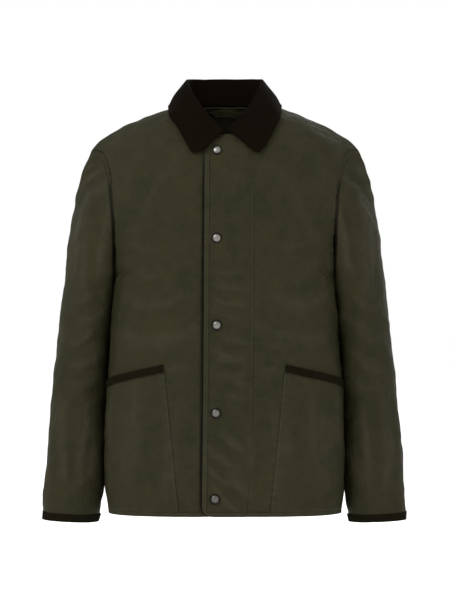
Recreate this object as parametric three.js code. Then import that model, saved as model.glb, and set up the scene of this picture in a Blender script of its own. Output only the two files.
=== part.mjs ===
// Waxed cotton jacket, filled out as if worn and standing open inside.
// Millimetres, +Z up. The origin is the middle of the neck opening at the level where the
// shoulder seams meet the collar. The front faces -Y and the wearer's left is +X.
import * as THREE from 'three';

// Cloth and seams
const CLOTH = 2.0;
const PATCH_CLOTH = 1.4;
const BINDING_CLOTH = 1.0;
const COLLAR_CLOTH = 2.4;
const LINING_CLOTH = 0.8;
const SEAM_GAP = 0.3;
const LAY_GAP = 0.4;

// Body and armhole
const HEM_Z = -700;
const SHOULDER_TIP_X = 229;
const ARMHOLE_TOP_Z = -79;
const UNDERARM_Z = -300;
const ARMHOLE_DEPTH = { front: 66, back: 68 };
const UNDERARM_ROW = 13;
const NECK_FRONT_ROW = 6;
const NECK_BACK_ROW = 5;
const HEM_ROW = 25;
const FRONT_COLUMNS = 11;
const BACK_COLUMNS = 10;

// Placket, from its free front edge to the seam that joins it to the left front
const PLACKET_RAISE = 2.9;
const PLACKET_FLAT_X = 33;
const PLACKET_CORNER = 18;
const PLACKET_TOP_DROP = 0.1;
const UNDERLAP_X = 24;
const BINDING_WIDTH = 7;

// Snap fasteners
const SNAP_RADIUS = 8.5;
const SNAP_HEIGHT = 3.4;

// Pockets
const POCKET_TOP_X = 102;
const POCKET_FOOT_X = 76.5;
const POCKET_TOP_Z = -447;
const POCKET_SLOPE = 0.21;
const POCKET_FIRST_COLUMN = 5;
const POCKET_BINDING_HEIGHT = 12.5;
const POCKET_STOP = 0.3;

// Sleeves and cuffs
const SLEEVE_RINGS = 18;
const CUFF_BINDING_HEIGHT = 13;
const SLEEVE_LENGTH = 430;

// Collar: one folded band with a rolled edge of this radius
const ROLL_RADIUS = 3.6;
const COLLAR_FOOT_LIFT = 2.1;
const COLLAR_EDGE_LIFT = 4.3;

const COLOURS = {
  cloth: { color: 0x3b382b, roughness: 0.62, metalness: 0 },
  corduroy: { color: 0x1d140f, roughness: 0.95, metalness: 0 },
  lining: { color: 0x2a1f18, roughness: 0.8, metalness: 0 },
  snap: { color: 0xd6d4cf, roughness: 0.3, metalness: 1 },
};

// Where each row of cloth crosses the middle of the body, and where the neckline cuts it.
// turn is the place of the row's other end round the armhole, in degrees from the top.
const FRONT_ROWS = [
  { row: 0, turn: 0, neckX: 72, middleY: 0, middleZ: 14, square: 2.3, wrap: 0.6 },
  { row: 1, turn: 9, neckX: 69, middleY: -20, middleZ: 6, square: 2.3, wrap: 0.6 },
  { row: 2, turn: 18, neckX: 62, middleY: -38, middleZ: -6, square: 2.3, wrap: 0.6 },
  { row: 3, turn: 27, neckX: 51, middleY: -53, middleZ: -21, square: 2.3, wrap: 0.6 },
  { row: 4, turn: 36, neckX: 38, middleY: -65, middleZ: -37, square: 2.4, wrap: 0.6 },
  { row: 5, turn: 45, neckX: 21, middleY: -73, middleZ: -51, square: 2.4, wrap: 0.6 },
  { row: 6, turn: 54, neckX: 0, middleY: -78, middleZ: -60, square: 2.5, wrap: 0.6 },
  { row: 7, turn: 66, neckX: 0, middleY: -91, middleZ: -89, square: 2.6, wrap: 0.61 },
  { row: 8, turn: 80, neckX: 0, middleY: -102, middleZ: -125, square: 2.8, wrap: 0.63 },
  { row: 9, turn: 95, neckX: 0, middleY: -109, middleZ: -164, square: 2.9, wrap: 0.66 },
  { row: 10, turn: 112, neckX: 0, middleY: -113, middleZ: -205, square: 3.0, wrap: 0.7 },
  { row: 11, turn: 131, neckX: 0, middleY: -115, middleZ: -243, square: 3.1, wrap: 0.78 },
  { row: 12, turn: 153, neckX: 0, middleY: -116, middleZ: -275, square: 3.2, wrap: 0.88 },
  { row: 13, turn: 180, neckX: 0, middleY: -116, middleZ: -300, square: 3.2, wrap: 1 },
  { row: 19, turn: 180, neckX: 0, middleY: -114, middleZ: -500, square: 3.2, wrap: 1 },
  { row: 25, turn: 180, neckX: 0, middleY: -111, middleZ: -700, square: 3.1, wrap: 1 },
];

const BACK_ROWS = [
  { row: 0, turn: 0, neckX: 72, middleY: 0, middleZ: 14, square: 2.3, wrap: 0.6 },
  { row: 1, turn: 9, neckX: 68, middleY: 19, middleZ: 12, square: 2.3, wrap: 0.6 },
  { row: 2, turn: 18, neckX: 59, middleY: 36, middleZ: 9, square: 2.3, wrap: 0.6 },
  { row: 3, turn: 27, neckX: 46, middleY: 49, middleZ: 6, square: 2.4, wrap: 0.6 },
  { row: 4, turn: 36, neckX: 27, middleY: 58, middleZ: 3, square: 2.4, wrap: 0.6 },
  { row: 5, turn: 45, neckX: 0, middleY: 64, middleZ: 0, square: 2.5, wrap: 0.6 },
  { row: 6, turn: 54, neckX: 0, middleY: 75, middleZ: -19, square: 2.5, wrap: 0.6 },
  { row: 7, turn: 66, neckX: 0, middleY: 87, middleZ: -50, square: 2.6, wrap: 0.61 },
  { row: 8, turn: 80, neckX: 0, middleY: 96, middleZ: -90, square: 2.7, wrap: 0.63 },
  { row: 9, turn: 95, neckX: 0, middleY: 102, middleZ: -135, square: 2.8, wrap: 0.66 },
  { row: 10, turn: 112, neckX: 0, middleY: 105, middleZ: -182, square: 2.9, wrap: 0.7 },
  { row: 11, turn: 131, neckX: 0, middleY: 107, middleZ: -226, square: 3.0, wrap: 0.78 },
  { row: 12, turn: 153, neckX: 0, middleY: 108, middleZ: -266, square: 3.0, wrap: 0.88 },
  { row: 13, turn: 180, neckX: 0, middleY: 108, middleZ: -300, square: 3.0, wrap: 1 },
  { row: 19, turn: 180, neckX: 0, middleY: 106, middleZ: -500, square: 3.0, wrap: 1 },
  { row: 25, turn: 180, neckX: 0, middleY: 104, middleZ: -700, square: 3.0, wrap: 1 },
];

// How far out the armhole seam lies, by its turn from the shoulder tip to the underarm.
const ARMHOLE_SEAM = [
  { turn: 0, x: SHOULDER_TIP_X },
  { turn: 9, x: 217 },
  { turn: 20, x: 207 },
  { turn: 38, x: 199 },
  { turn: 57, x: 193 },
  { turn: 77, x: 189.5 },
  { turn: 100, x: 187 },
  { turn: 130, x: 186 },
  { turn: 180, x: 188 },
];

// Half width of the body down the side seam.
const SIDE_SEAM = [
  { z: -300, x: 188 },
  { z: -337, x: 190.4 },
  { z: -394, x: 194.4 },
  { z: -452, x: 198.2 },
  { z: -509, x: 201.2 },
  { z: -566, x: 203.2 },
  { z: -624, x: 203.6 },
  { z: -664, x: 202.4 },
  { z: -700, x: 198.6 },
];

// The placket's free edge and its seam drift towards the wearer's right as they go down.
const PLACKET_LINES = [
  { z: -30, edgeX: -32.6, seamX: 49 },
  { z: -300, edgeX: -34, seamX: 49 },
  { z: -510, edgeX: -35.5, seamX: 47 },
  { z: -700, edgeX: -37.6, seamX: 37 },
];

// The sleeve between its outer edge and its inner edge, from the armhole to the cuff. apart is how
// far the inner edge hangs from the side of the body.
const SLEEVE_LINES = [
  { share: 0, outerX: 229, outerZ: -79, innerZ: -300, apart: 0, middleY: 1, depth: 67 },
  { share: 0.03, outerX: 237, outerZ: -96, innerZ: -313, apart: 0.5, middleY: 2, depth: 69 },
  { share: 0.06, outerX: 244.5, outerZ: -114, innerZ: -325, apart: 0.7, middleY: 4, depth: 71 },
  { share: 0.14, outerX: 258, outerZ: -165, innerZ: -358, apart: 0.8, middleY: 9, depth: 76 },
  { share: 0.25, outerX: 269, outerZ: -234, innerZ: -403, apart: 0.9, middleY: 15, depth: 78 },
  { share: 0.36, outerX: 277, outerZ: -303, innerZ: -449, apart: 0.9, middleY: 19, depth: 75 },
  { share: 0.47, outerX: 285, outerZ: -373, innerZ: -494, apart: 0.9, middleY: 20, depth: 69 },
  { share: 0.56, outerX: 291, outerZ: -432, innerZ: -532, apart: 0.9, middleY: 20, depth: 64 },
  { share: 0.68, outerX: 299, outerZ: -508, innerZ: -581, apart: 0.9, middleY: 18, depth: 58 },
  { share: 0.81, outerX: 305.5, outerZ: -590, innerZ: -635, apart: 1.4, middleY: 13, depth: 52 },
  { share: 0.92, outerX: 310.5, outerZ: -658, innerZ: -678, apart: 8.5, middleY: 7, depth: 46 },
  { share: 0.97, outerX: 312.3, outerZ: -700, innerZ: -705, apart: 14, middleY: 4.4, depth: 44.2 },
  { share: 1, outerX: 313, outerZ: -713.5, innerZ: -717.5, apart: 17, middleY: 3, depth: 43 },
];

// Sections of the collar from its front end, over the shoulder, to the middle of the back: the
// row at which it is sewn on, the rolled fold, and the free edge. inset narrows the right leaf.
const COLLAR_SECTIONS = [
  { side: 'front', row: 5.7, foldX: 4.5, foldY: -86.8, foldZ: -50.6, edgeX: 46, edgeZ: -88, inset: 13 },
  { side: 'front', row: 5, foldX: 13, foldY: -80.5, foldZ: -41, edgeX: 58, edgeZ: -91.5, inset: 4 },
  { side: 'front', row: 4, foldX: 29, foldY: -67, foldZ: -22, edgeX: 69, edgeZ: -79, inset: 7 },
  { side: 'front', row: 3, foldX: 42, foldY: -50, foldZ: -5, edgeX: 78, edgeZ: -63, inset: 7 },
  { side: 'front', row: 2, foldX: 52, foldY: -32, foldZ: 13.5, edgeX: 86, edgeZ: -46, inset: 6 },
  { side: 'front', row: 1, foldX: 59.5, foldY: -14, foldZ: 29, edgeX: 94.5, edgeZ: -29, inset: 1.5 },
  { side: 'back', row: 0, foldX: 63, foldY: 5, foldZ: 39, edgeX: 96.5, edgeZ: -7, inset: 1 },
  { side: 'back', row: 1, foldX: 63, foldY: 25, foldZ: 44.5, edgeX: 95, edgeZ: -12.5, inset: 0 },
  { side: 'back', row: 2, foldX: 58, foldY: 43, foldZ: 46.5, edgeX: 87, edgeZ: -13.5, inset: 0 },
  { side: 'back', row: 3, foldX: 45, foldY: 56, foldZ: 48, edgeX: 68, edgeZ: -14.5, inset: 0 },
  { side: 'back', row: 4, foldX: 25, foldY: 65, foldZ: 49.2, edgeX: 38, edgeZ: -15, inset: 0 },
  { side: 'back', row: 5, foldX: 0, foldY: 69, foldZ: 50, edgeX: 0, edgeZ: -15, inset: 0 },
];
const STAND_STEPS = 3;
const ROLL_STEPS = 4;
const LEAF_STEPS = 4;
const LEAF_BULGE = 2;

// Soft troughs pressed into the cloth: middle, direction in degrees from level, half length,
// half width and depth. side says which face of the garment they lie on.
const FOLDS = [
  { name: 'chest left', side: 'front', x: 128, z: -150, angle: 62, length: 75, width: 20, depth: 4 },
  { name: 'chest right', side: 'front', x: -128, z: -150, angle: -62, length: 75, width: 20, depth: 4 },
  { name: 'waist left', side: 'front', x: 110, z: -395, angle: 12, length: 60, width: 22, depth: 3 },
  { name: 'waist right', side: 'front', x: -105, z: -385, angle: -14, length: 62, width: 22, depth: 3 },
  { name: 'under snap 2', side: 'front', x: 12, z: -318, angle: 4, length: 46, width: 22, depth: 2.5 },
  { name: 'under snap 3', side: 'front', x: 14, z: -436, angle: -8, length: 46, width: 22, depth: 2.5 },
  { name: 'under snap 4', side: 'front', x: 10, z: -580, angle: -24, length: 44, width: 22, depth: 3 },
  { name: 'above hem', side: 'front', x: 12, z: -662, angle: -36, length: 40, width: 20, depth: 2.5 },
  { name: 'back left', side: 'back', x: 120, z: -170, angle: 66, length: 85, width: 22, depth: 4.5 },
  { name: 'back right', side: 'back', x: -118, z: -180, angle: -64, length: 80, width: 22, depth: 4.5 },
  { name: 'back waist left', side: 'back', x: 70, z: -420, angle: 20, length: 80, width: 24, depth: 4 },
  { name: 'back waist right', side: 'back', x: -80, z: -450, angle: -24, length: 80, width: 24, depth: 4 },
  { name: 'back skirt', side: 'back', x: 20, z: -590, angle: 78, length: 80, width: 26, depth: 4 },
];

// Troughs in a sleeve, placed by their share of its length and by degrees round it from the
// outer edge, forwards first.
const SLEEVE_FOLDS = [
  { name: 'cap', share: 0.2, turn: 105, length: 0.09, spread: 26, depth: 4 },
  { name: 'upper arm', share: 0.36, turn: 60, length: 0.12, spread: 22, depth: 3 },
  { name: 'elbow front', share: 0.52, turn: 120, length: 0.07, spread: 34, depth: 4.5 },
  { name: 'elbow back', share: 0.48, turn: 250, length: 0.06, spread: 36, depth: 5 },
  { name: 'forearm', share: 0.7, turn: 80, length: 0.12, spread: 24, depth: 3 },
  { name: 'forearm back', share: 0.66, turn: 290, length: 0.1, spread: 28, depth: 4 },
];

const MIRROR = new THREE.Vector3(-1, 1, 1);

/** The name of a side of the garment, as the wearer has it. */
function side(left) {
  return left ? 'left' : 'right';
}

/** A number held between two limits. */
function clamp(value, low, high) {
  return Math.min(Math.max(value, low), high);
}

/** An eased step from 0 to 1. */
function ease(value) {
  const t = clamp(value, 0, 1);
  return t * t * (3 - 2 * t);
}

/** The slope of a table's column at one of its rows, kept from overshooting. */
function slopeAt(table, key, column, i) {
  const last = table.length - 1;
  const rise = (a, b) => (table[b][column] - table[a][column]) / (table[b][key] - table[a][key]);
  if (i === 0) return rise(0, 1);
  if (i === last) return rise(last - 1, last);
  const before = rise(i - 1, i);
  const after = rise(i, i + 1);
  return before * after <= 0 ? 0 : (2 * before * after) / (before + after);
}

/** A column of a table read between its rows, on a smooth curve. */
function read(table, key, column, at) {
  const rising = table[1][key] > table[0][key];
  let i = 0;
  while (i < table.length - 2 && (rising ? at > table[i + 1][key] : at < table[i + 1][key])) i += 1;
  const span = table[i + 1][key] - table[i][key];
  const t = (at - table[i][key]) / span;
  const from = table[i][column];
  const to = table[i + 1][column];
  const out = slopeAt(table, key, column, i) * span;
  const into = slopeAt(table, key, column, i + 1) * span;
  const t2 = t * t;
  const t3 = t2 * t;
  return from * (2 * t3 - 3 * t2 + 1) + out * (t3 - 2 * t2 + t) + to * (3 * t2 - 2 * t3) + into * (t3 - t2);
}

/** The end of a row of body cloth: on the armhole seam, or lower down on the side seam. */
function rowEnd(side, row) {
  const rows = side === 'front' ? FRONT_ROWS : BACK_ROWS;
  const forward = side === 'front' ? -1 : 1;
  if (row >= UNDERARM_ROW) {
    const z = UNDERARM_Z + ((HEM_Z - UNDERARM_Z) * (row - UNDERARM_ROW)) / (HEM_ROW - UNDERARM_ROW);
    return new THREE.Vector3(read(SIDE_SEAM, 'z', 'x', z), 0, z);
  }
  const turn = read(rows, 'row', 'turn', row);
  const angle = THREE.MathUtils.degToRad(turn);
  const fall = (1 - Math.cos(angle)) / 2;
  return new THREE.Vector3(
    read(ARMHOLE_SEAM, 'turn', 'x', turn),
    forward * ARMHOLE_DEPTH[side] * Math.sin(angle) ** 0.85,
    ARMHOLE_TOP_Z + (UNDERARM_Z - ARMHOLE_TOP_Z) * fall,
  );
}

/** How much of a row's fall has happened at a share of its width: flat first, then steep. */
function shoulderFall(t) {
  return 0.88 * t ** 1.6 + 0.12 * t ** 14;
}

const ROW_SAMPLES = 72;
const rowCurves = new Map();

/** A row of body cloth as a fine polyline from the middle to its end, with lengths along it. */
function rowCurve(side, row) {
  const name = `${side} ${row.toFixed(4)}`;
  if (rowCurves.has(name)) return rowCurves.get(name);
  const rows = side === 'front' ? FRONT_ROWS : BACK_ROWS;
  const end = rowEnd(side, row);
  const middleY = read(rows, 'row', 'middleY', row);
  const middleZ = read(rows, 'row', 'middleZ', row);
  const power = 2 / read(rows, 'row', 'square', row);
  const lastAngle = (Math.PI / 2) * read(rows, 'row', 'wrap', row);
  const fullX = Math.sin(lastAngle) ** power;
  const lastY = Math.max(Math.cos(lastAngle), 0) ** power;
  const points = [];
  const lengths = [0];
  for (let i = 0; i <= ROW_SAMPLES; i += 1) {
    const angle = lastAngle * (i / ROW_SAMPLES) ** 1.4;
    const t = Math.sin(angle) ** power / fullX;
    const turned = (1 - Math.max(Math.cos(angle), 0) ** power) / (1 - lastY);
    points.push(new THREE.Vector3(
      end.x * t,
      THREE.MathUtils.lerp(middleY, end.y, turned),
      THREE.MathUtils.lerp(middleZ, end.z, shoulderFall(t)),
    ));
    if (i > 0) lengths.push(lengths[i - 1] + points[i].distanceTo(points[i - 1]));
  }
  const curve = { points, lengths, total: lengths[ROW_SAMPLES] };
  rowCurves.set(name, curve);
  return curve;
}

/** A point of the unfolded body surface. share runs from the middle, 0, to the end, 1 or -1. */
function smoothPoint(side, row, share) {
  const curve = rowCurve(side, clamp(row, 0, HEM_ROW));
  const target = Math.abs(share) * curve.total;
  let i = 1;
  while (i < ROW_SAMPLES && curve.lengths[i] < target) i += 1;
  const t = (target - curve.lengths[i - 1]) / (curve.lengths[i] - curve.lengths[i - 1]);
  const point = curve.points[i - 1].clone().lerp(curve.points[i], t);
  if (share < 0) point.x = -point.x;
  return point;
}

/** The share of a row at which it reaches a given x. */
function shareAtX(side, row, x) {
  const curve = rowCurve(side, row);
  const target = Math.abs(x);
  let i = 1;
  while (i < ROW_SAMPLES && curve.points[i].x < target) i += 1;
  const t = (target - curve.points[i - 1].x) / (curve.points[i].x - curve.points[i - 1].x);
  const length = THREE.MathUtils.lerp(curve.lengths[i - 1], curve.lengths[i], t);
  return (Math.sign(x) || 1) * (length / curve.total);
}

/** The outward direction of the body surface. */
function outward(side, row, share) {
  const stepShare = 0.012;
  const stepRow = 0.06;
  const across = smoothPoint(side, row, clamp(share + stepShare, -1, 1))
    .sub(smoothPoint(side, row, clamp(share - stepShare, -1, 1)));
  const down = smoothPoint(side, Math.min(row + stepRow, HEM_ROW), share)
    .sub(smoothPoint(side, Math.max(row - stepRow, 0), share));
  const direction = across.cross(down).normalize();
  return side === 'front' ? direction.negate() : direction;
}

/** How far the folds press the cloth in at a place on one face. */
function foldDepth(side, x, z) {
  return FOLDS.filter((fold) => fold.side === side).reduce((sum, fold) => {
    const angle = THREE.MathUtils.degToRad(fold.angle);
    const dx = x - fold.x;
    const dz = z - fold.z;
    const along = (dx * Math.cos(angle) + dz * Math.sin(angle)) / fold.length;
    const over = (dz * Math.cos(angle) - dx * Math.sin(angle)) / fold.width;
    return sum + fold.depth * Math.exp(-(along * along + over * over));
  }, 0);
}

/** The body surface with its folds: a point and its outward direction. */
function bodyCloth(side, row, share, lift = 0) {
  const point = smoothPoint(side, row, share);
  const normal = outward(side, row, share);
  const facing = Math.abs(normal.y) ** 2;
  const depth = foldDepth(side, point.x, point.z) * facing * ease((1 - Math.abs(share)) / 0.12);
  return { point: point.addScaledVector(normal, lift - depth), normal };
}

/** Closed solid between outer points and the same points moved in, over one or more grids. */
function clothSolid(grids, thickness, wraps = false) {
  const outer = [];
  const inner = [];
  const known = new Map();
  const index = (node) => {
    const key = node.point.toArray().map((value) => value.toFixed(3)).join(' ');
    if (!known.has(key)) {
      known.set(key, outer.length);
      outer.push(node.point);
      inner.push(node.point.clone().addScaledVector(node.normal, -(node.thickness ?? thickness)));
    }
    return known.get(key);
  };
  const faces = [];
  const addFace = (a, b, c) => {
    if (a !== b && b !== c && c !== a) faces.push([a, b, c]);
  };
  grids.forEach((grid) => {
    const columns = grid[0].length;
    for (let r = 0; r < grid.length - 1; r += 1) {
      for (let c = 0; c < (wraps ? columns : columns - 1); c += 1) {
        const next = (c + 1) % columns;
        const corners = [grid[r][c], grid[r][next], grid[r + 1][next], grid[r + 1][c]].map(index);
        addFace(corners[0], corners[1], corners[2]);
        addFace(corners[0], corners[2], corners[3]);
      }
    }
  });
  return solidFromSkin(outer, inner, faces);
}

/** Joins an outer skin to the inner one along its free edges and turns every face outwards. */
function solidFromSkin(outer, inner, faces) {
  const count = outer.length;
  const edges = new Set(faces.flatMap(([a, b, c]) => [`${a} ${b}`, `${b} ${c}`, `${c} ${a}`]));
  const triangles = [];
  faces.forEach(([a, b, c]) => {
    triangles.push([a, b, c], [a + count, c + count, b + count]);
    [[a, b], [b, c], [c, a]].forEach(([from, to]) => {
      if (edges.has(`${to} ${from}`)) return;
      triangles.push([to, from, from + count], [to, from + count, to + count]);
    });
  });
  const points = outer.concat(inner);
  const volume = triangles.reduce((sum, [a, b, c]) => (
    sum + points[a].dot(points[b].clone().cross(points[c]))), 0);
  const turned = volume < 0 ? triangles.map(([a, b, c]) => [a, c, b]) : triangles;
  const geometry = new THREE.BufferGeometry();
  geometry.setAttribute('position', new THREE.Float32BufferAttribute(points.flatMap((p) => p.toArray()), 3));
  geometry.setIndex(turned.flat());
  geometry.computeVertexNormals();
  return geometry;
}

/** A grid with every point and direction mirrored to the other side of the body. */
function mirrorGrid(grid) {
  return grid.map((line) => line.map((node) => ({
    ...node,
    point: node.point.clone().multiply(MIRROR),
    normal: node.normal.clone().multiply(MIRROR),
  })).reverse());
}

// Sleeve surface, for the wearer's left; the right one is its mirror image.

/** The armhole ring: down the front from the shoulder tip, then up the back. */
function armholeRing() {
  const ring = [];
  for (let row = 0; row <= UNDERARM_ROW; row += 1) ring.push({ side: 'front', row });
  for (let row = UNDERARM_ROW - 1; row > 0; row -= 1) ring.push({ side: 'back', row });
  return ring.map((place) => {
    const point = rowEnd(place.side, place.row);
    const turn = read(place.side === 'front' ? FRONT_ROWS : BACK_ROWS, 'row', 'turn', place.row);
    return { ...place, point, turn: place.side === 'front' ? turn : 360 - turn };
  });
}

/** A point on the plain oval of the sleeve at a share of its length. */
function sleeveOval(share, turn) {
  const at = (column) => read(SLEEVE_LINES, 'share', column, share);
  const angle = THREE.MathUtils.degToRad(turn);
  const away = Math.cos(angle);
  const round = Math.sin(angle);
  const innerX = read(SIDE_SEAM, 'z', 'x', Math.max(at('innerZ'), HEM_Z)) + at('apart');
  return new THREE.Vector3(
    (at('outerX') * (1 + away) + innerX * (1 - away)) / 2,
    at('middleY') - at('depth') * Math.sign(round) * Math.abs(round) ** 0.9,
    (at('outerZ') * (1 + away) + at('innerZ') * (1 - away)) / 2,
  );
}

/** How far the folds press a sleeve in. */
function sleeveFoldDepth(share, turn) {
  return SLEEVE_FOLDS.reduce((sum, fold) => {
    const along = (share - fold.share) / fold.length;
    const round = (turn - fold.turn) / fold.spread;
    return sum + fold.depth * Math.exp(-(along * along + round * round));
  }, 0);
}

const RING = armholeRing();
const ringBend = RING.map((place) => place.point.clone().sub(sleeveOval(0, place.turn)));

/** A point of the sleeve: the oval, bent near its top to meet the armhole seam. */
function sleevePoint(share, index) {
  const place = RING[index];
  const fade = ease(1 - share / 0.3);
  return sleeveOval(share, place.turn).addScaledVector(ringBend[index], fade);
}

/** Rings of the sleeve, close together at its top. */
function sleeveShares() {
  return Array.from({ length: SLEEVE_RINGS + 1 }, (_, i) => (i / SLEEVE_RINGS) ** 1.25);
}

/** The outward direction of the sleeve at one point of a ring. */
function sleeveOutward(share, index) {
  const count = RING.length;
  const step = 0.01;
  const before = sleevePoint(share, (index + count - 1) % count);
  const round = sleevePoint(share, (index + 1) % count).sub(before);
  const above = sleevePoint(Math.max(share - step, 0), index);
  const down = sleevePoint(Math.min(share + step, 1), index).sub(above);
  return round.cross(down).normalize().negate();
}

const SLEEVE_TURNS_OUT = sleeveOutward(0.5, 0).x > 0 ? 1 : -1;

/** One point of sleeve cloth with its folds. */
function sleeveCloth(share, index, lift = 0) {
  const normal = sleeveOutward(share, index).multiplyScalar(SLEEVE_TURNS_OUT);
  const depth = sleeveFoldDepth(share, RING[index].turn) * ease(share / 0.1) * ease((1 - share) / 0.08);
  return { point: sleevePoint(share, index).addScaledVector(normal, lift - depth), normal };
}

/** How body and sleeve share each point of the armhole seam: the way apart and their rims. */
function armholeSeam() {
  const count = RING.length;
  const centre = RING.reduce((sum, place) => sum.add(place.point), new THREE.Vector3()).divideScalar(count);
  return RING.map((place, index) => {
    const before = RING[(index + count - 1) % count].point;
    const along = RING[(index + 1) % count].point.clone().sub(before).normalize();
    let bodyNormal = outward(place.side, place.row, 1);
    if (place.row === 0 || place.row === UNDERARM_ROW) {
      const other = place.side === 'front' ? 'back' : 'front';
      bodyNormal = bodyNormal.add(outward(other, place.row, 1)).normalize();
    }
    const sleeveNormal = sleeveOutward(0, index).multiplyScalar(SLEEVE_TURNS_OUT);
    const intoBody = along.clone().cross(bodyNormal).normalize();
    if (intoBody.dot(place.point.clone().sub(centre)) < 0 && place.row > 2) intoBody.negate();
    if (place.row <= 2 && intoBody.x > 0) intoBody.negate();
    const intoSleeve = sleevePoint(0.03, index).sub(place.point);
    intoSleeve.addScaledVector(along, -intoSleeve.dot(along)).normalize();
    const apart = intoBody.sub(intoSleeve).normalize();
    const shared = ease((bodyNormal.dot(sleeveNormal) + 0.2) / 0.7);
    const bodyRim = bodyNormal.clone().addScaledVector(sleeveNormal, shared).normalize();
    const sleeveRim = sleeveNormal.clone().addScaledVector(bodyNormal, shared).normalize();
    return { ...place, apart, bodyRim, sleeveRim };
  });
}

const ARMHOLE = armholeSeam();

/** A node of body cloth, moved back from the seams it lies on. */
function bodyNode(side, row, share) {
  const node = bodyCloth(side, row, share);
  const forward = side === 'front' ? -1 : 1;
  const atEnd = Math.abs(Math.abs(share) - 1) < 1e-6;
  const other = side === 'front' ? 'back' : 'front';
  if (row === 0 || (atEnd && row >= UNDERARM_ROW)) {
    node.normal = node.normal.add(outward(other, row, share)).normalize();
    node.normal.y = 0;
    node.normal.normalize();
    node.point.y += (forward * SEAM_GAP) / 2;
  }
  if (atEnd && row <= UNDERARM_ROW) {
    const seam = ARMHOLE.find((place) => place.row === row
      && (place.side === side || row === 0 || row === UNDERARM_ROW));
    const flip = share < 0 ? MIRROR : new THREE.Vector3(1, 1, 1);
    node.point.add(seam.apart.clone().multiply(flip).multiplyScalar(SEAM_GAP / 2));
    if (row < UNDERARM_ROW) node.normal = seam.bodyRim.clone().multiply(flip);
    if (row === 0) node.normal.y = 0;
  }
  return node;
}

/** Whole rows of a panel from an inner share to the armhole or side seam. */
function panelGrid(side, columns, innerShare, towards) {
  return Array.from({ length: HEM_ROW + 1 }, (_, row) => {
    const start = innerShare(row);
    return Array.from({ length: columns + 1 }, (_, c) => (
      bodyNode(side, row, THREE.MathUtils.lerp(start, towards, c / columns))));
  });
}

/** Height of the front where a row reaches a given x. */
function rowHeight(row, x) {
  return smoothPoint('front', row, shareAtX('front', row, x)).z;
}

/** The place between rows at which one face of the body has a given x and z. */
function rowAt(side, x, z) {
  let low = 0;
  let high = HEM_ROW;
  for (let i = 0; i < 34; i += 1) {
    const middle = (low + high) / 2;
    if (smoothPoint(side, middle, shareAtX(side, middle, x)).z > z) low = middle;
    else high = middle;
  }
  return (low + high) / 2;
}

/** A point above one face of the body at a given x and z. */
function bodyAt(side, x, z, lift = 0) {
  const row = rowAt(side, x, z);
  return bodyCloth(side, row, shareAtX(side, row, x), lift);
}

/** A point of a panel's faceted surface between its rows and columns, lifted off it. */
function onPanel(grid, row, column, lift) {
  const r = Math.min(Math.floor(row), grid.length - 2);
  const c = Math.min(Math.floor(column), grid[0].length - 2);
  const v = row - r;
  const u = column - c;
  const corner = grid[r][c];
  const far = grid[r + 1][c + 1];
  const side = u >= v ? grid[r][c + 1] : grid[r + 1][c];
  const [first, second] = u >= v ? [u, v] : [v, u];
  const blend = (key) => corner[key].clone()
    .addScaledVector(side[key].clone().sub(corner[key]), first)
    .addScaledVector(far[key].clone().sub(side[key]), second);
  const normal = blend('normal').normalize();
  return { point: blend('point').addScaledVector(normal, lift), normal };
}

/** The column of a panel at which a row reaches a given x. */
function columnAtX(grid, row, x) {
  const columns = grid[0].length - 1;
  const away = Math.sign(grid[0][columns].point.x - grid[0][0].point.x);
  let low = 0;
  let high = columns;
  for (let i = 0; i < 30; i += 1) {
    const middle = (low + high) / 2;
    if (onPanel(grid, row, middle, 0).point.x * away < x * away) low = middle;
    else high = middle;
  }
  return (low + high) / 2;
}

/** The row of a panel below the underarm at a given height. */
function rowOfHeight(z) {
  return THREE.MathUtils.mapLinear(z, UNDERARM_Z, HEM_Z, UNDERARM_ROW, HEM_ROW);
}

/** x of the placket's seam at a row of the front. */
function placketSeamX(row) {
  const top = PLACKET_LINES[0];
  return read(PLACKET_LINES, 'z', 'seamX', Math.min(rowHeight(row, top.seamX), top.z));
}

/** x of the placket's free edge at a row of the front. */
function placketEdgeX(row) {
  const top = PLACKET_LINES[0];
  return read(PLACKET_LINES, 'z', 'edgeX', Math.min(rowHeight(row, top.edgeX), top.z));
}

/** The inner edge of the left front: the neckline, then the placket seam. */
function leftFrontShare(row) {
  const neckX = read(FRONT_ROWS, 'row', 'neckX', row);
  return shareAtX('front', row, Math.max(neckX, placketSeamX(row) + SEAM_GAP / 2));
}

/** The inner edge of the right front: the neckline, then a slant out to its underlap. */
function rightFrontShare(row) {
  const neckX = read(FRONT_ROWS, 'row', 'neckX', row);
  const underlap = UNDERLAP_X * ease((row - NECK_FRONT_ROW) / 2);
  return shareAtX('front', row, neckX > 0 ? -neckX : underlap + 1e-3);
}

/** How far the placket stands off the left front's surface. */
function placketRaise(x, seamX) {
  return PLACKET_RAISE * ease((seamX - x) / (seamX - PLACKET_FLAT_X));
}

const FRONT_GRIDS = {
  left: panelGrid('front', FRONT_COLUMNS, leftFrontShare, 1),
  right: panelGrid('front', FRONT_COLUMNS, rightFrontShare, -1),
};

/** Half of the back, from the neckline or the middle out to the seams. */
function backHalf(towards) {
  return panelGrid('back', BACK_COLUMNS, (row) => {
    const neckX = read(BACK_ROWS, 'row', 'neckX', row);
    return neckX > 0 ? shareAtX('back', row, towards * neckX) : 0;
  }, towards);
}

const BACK_LEFT = backHalf(1);
const BACK_RIGHT = backHalf(-1);
BACK_LEFT.slice(NECK_BACK_ROW).forEach((line, i) => {
  line[0].point.x = 0;
  line[0].normal.setX(0).normalize();
  BACK_RIGHT[NECK_BACK_ROW + i][0] = line[0];
});

/** The back below its neckline as one grid, from the right side seam to the left. */
const BACK_GRID = BACK_LEFT.map((line, row) => BACK_RIGHT[row].slice(1).reverse().concat(line));

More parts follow.
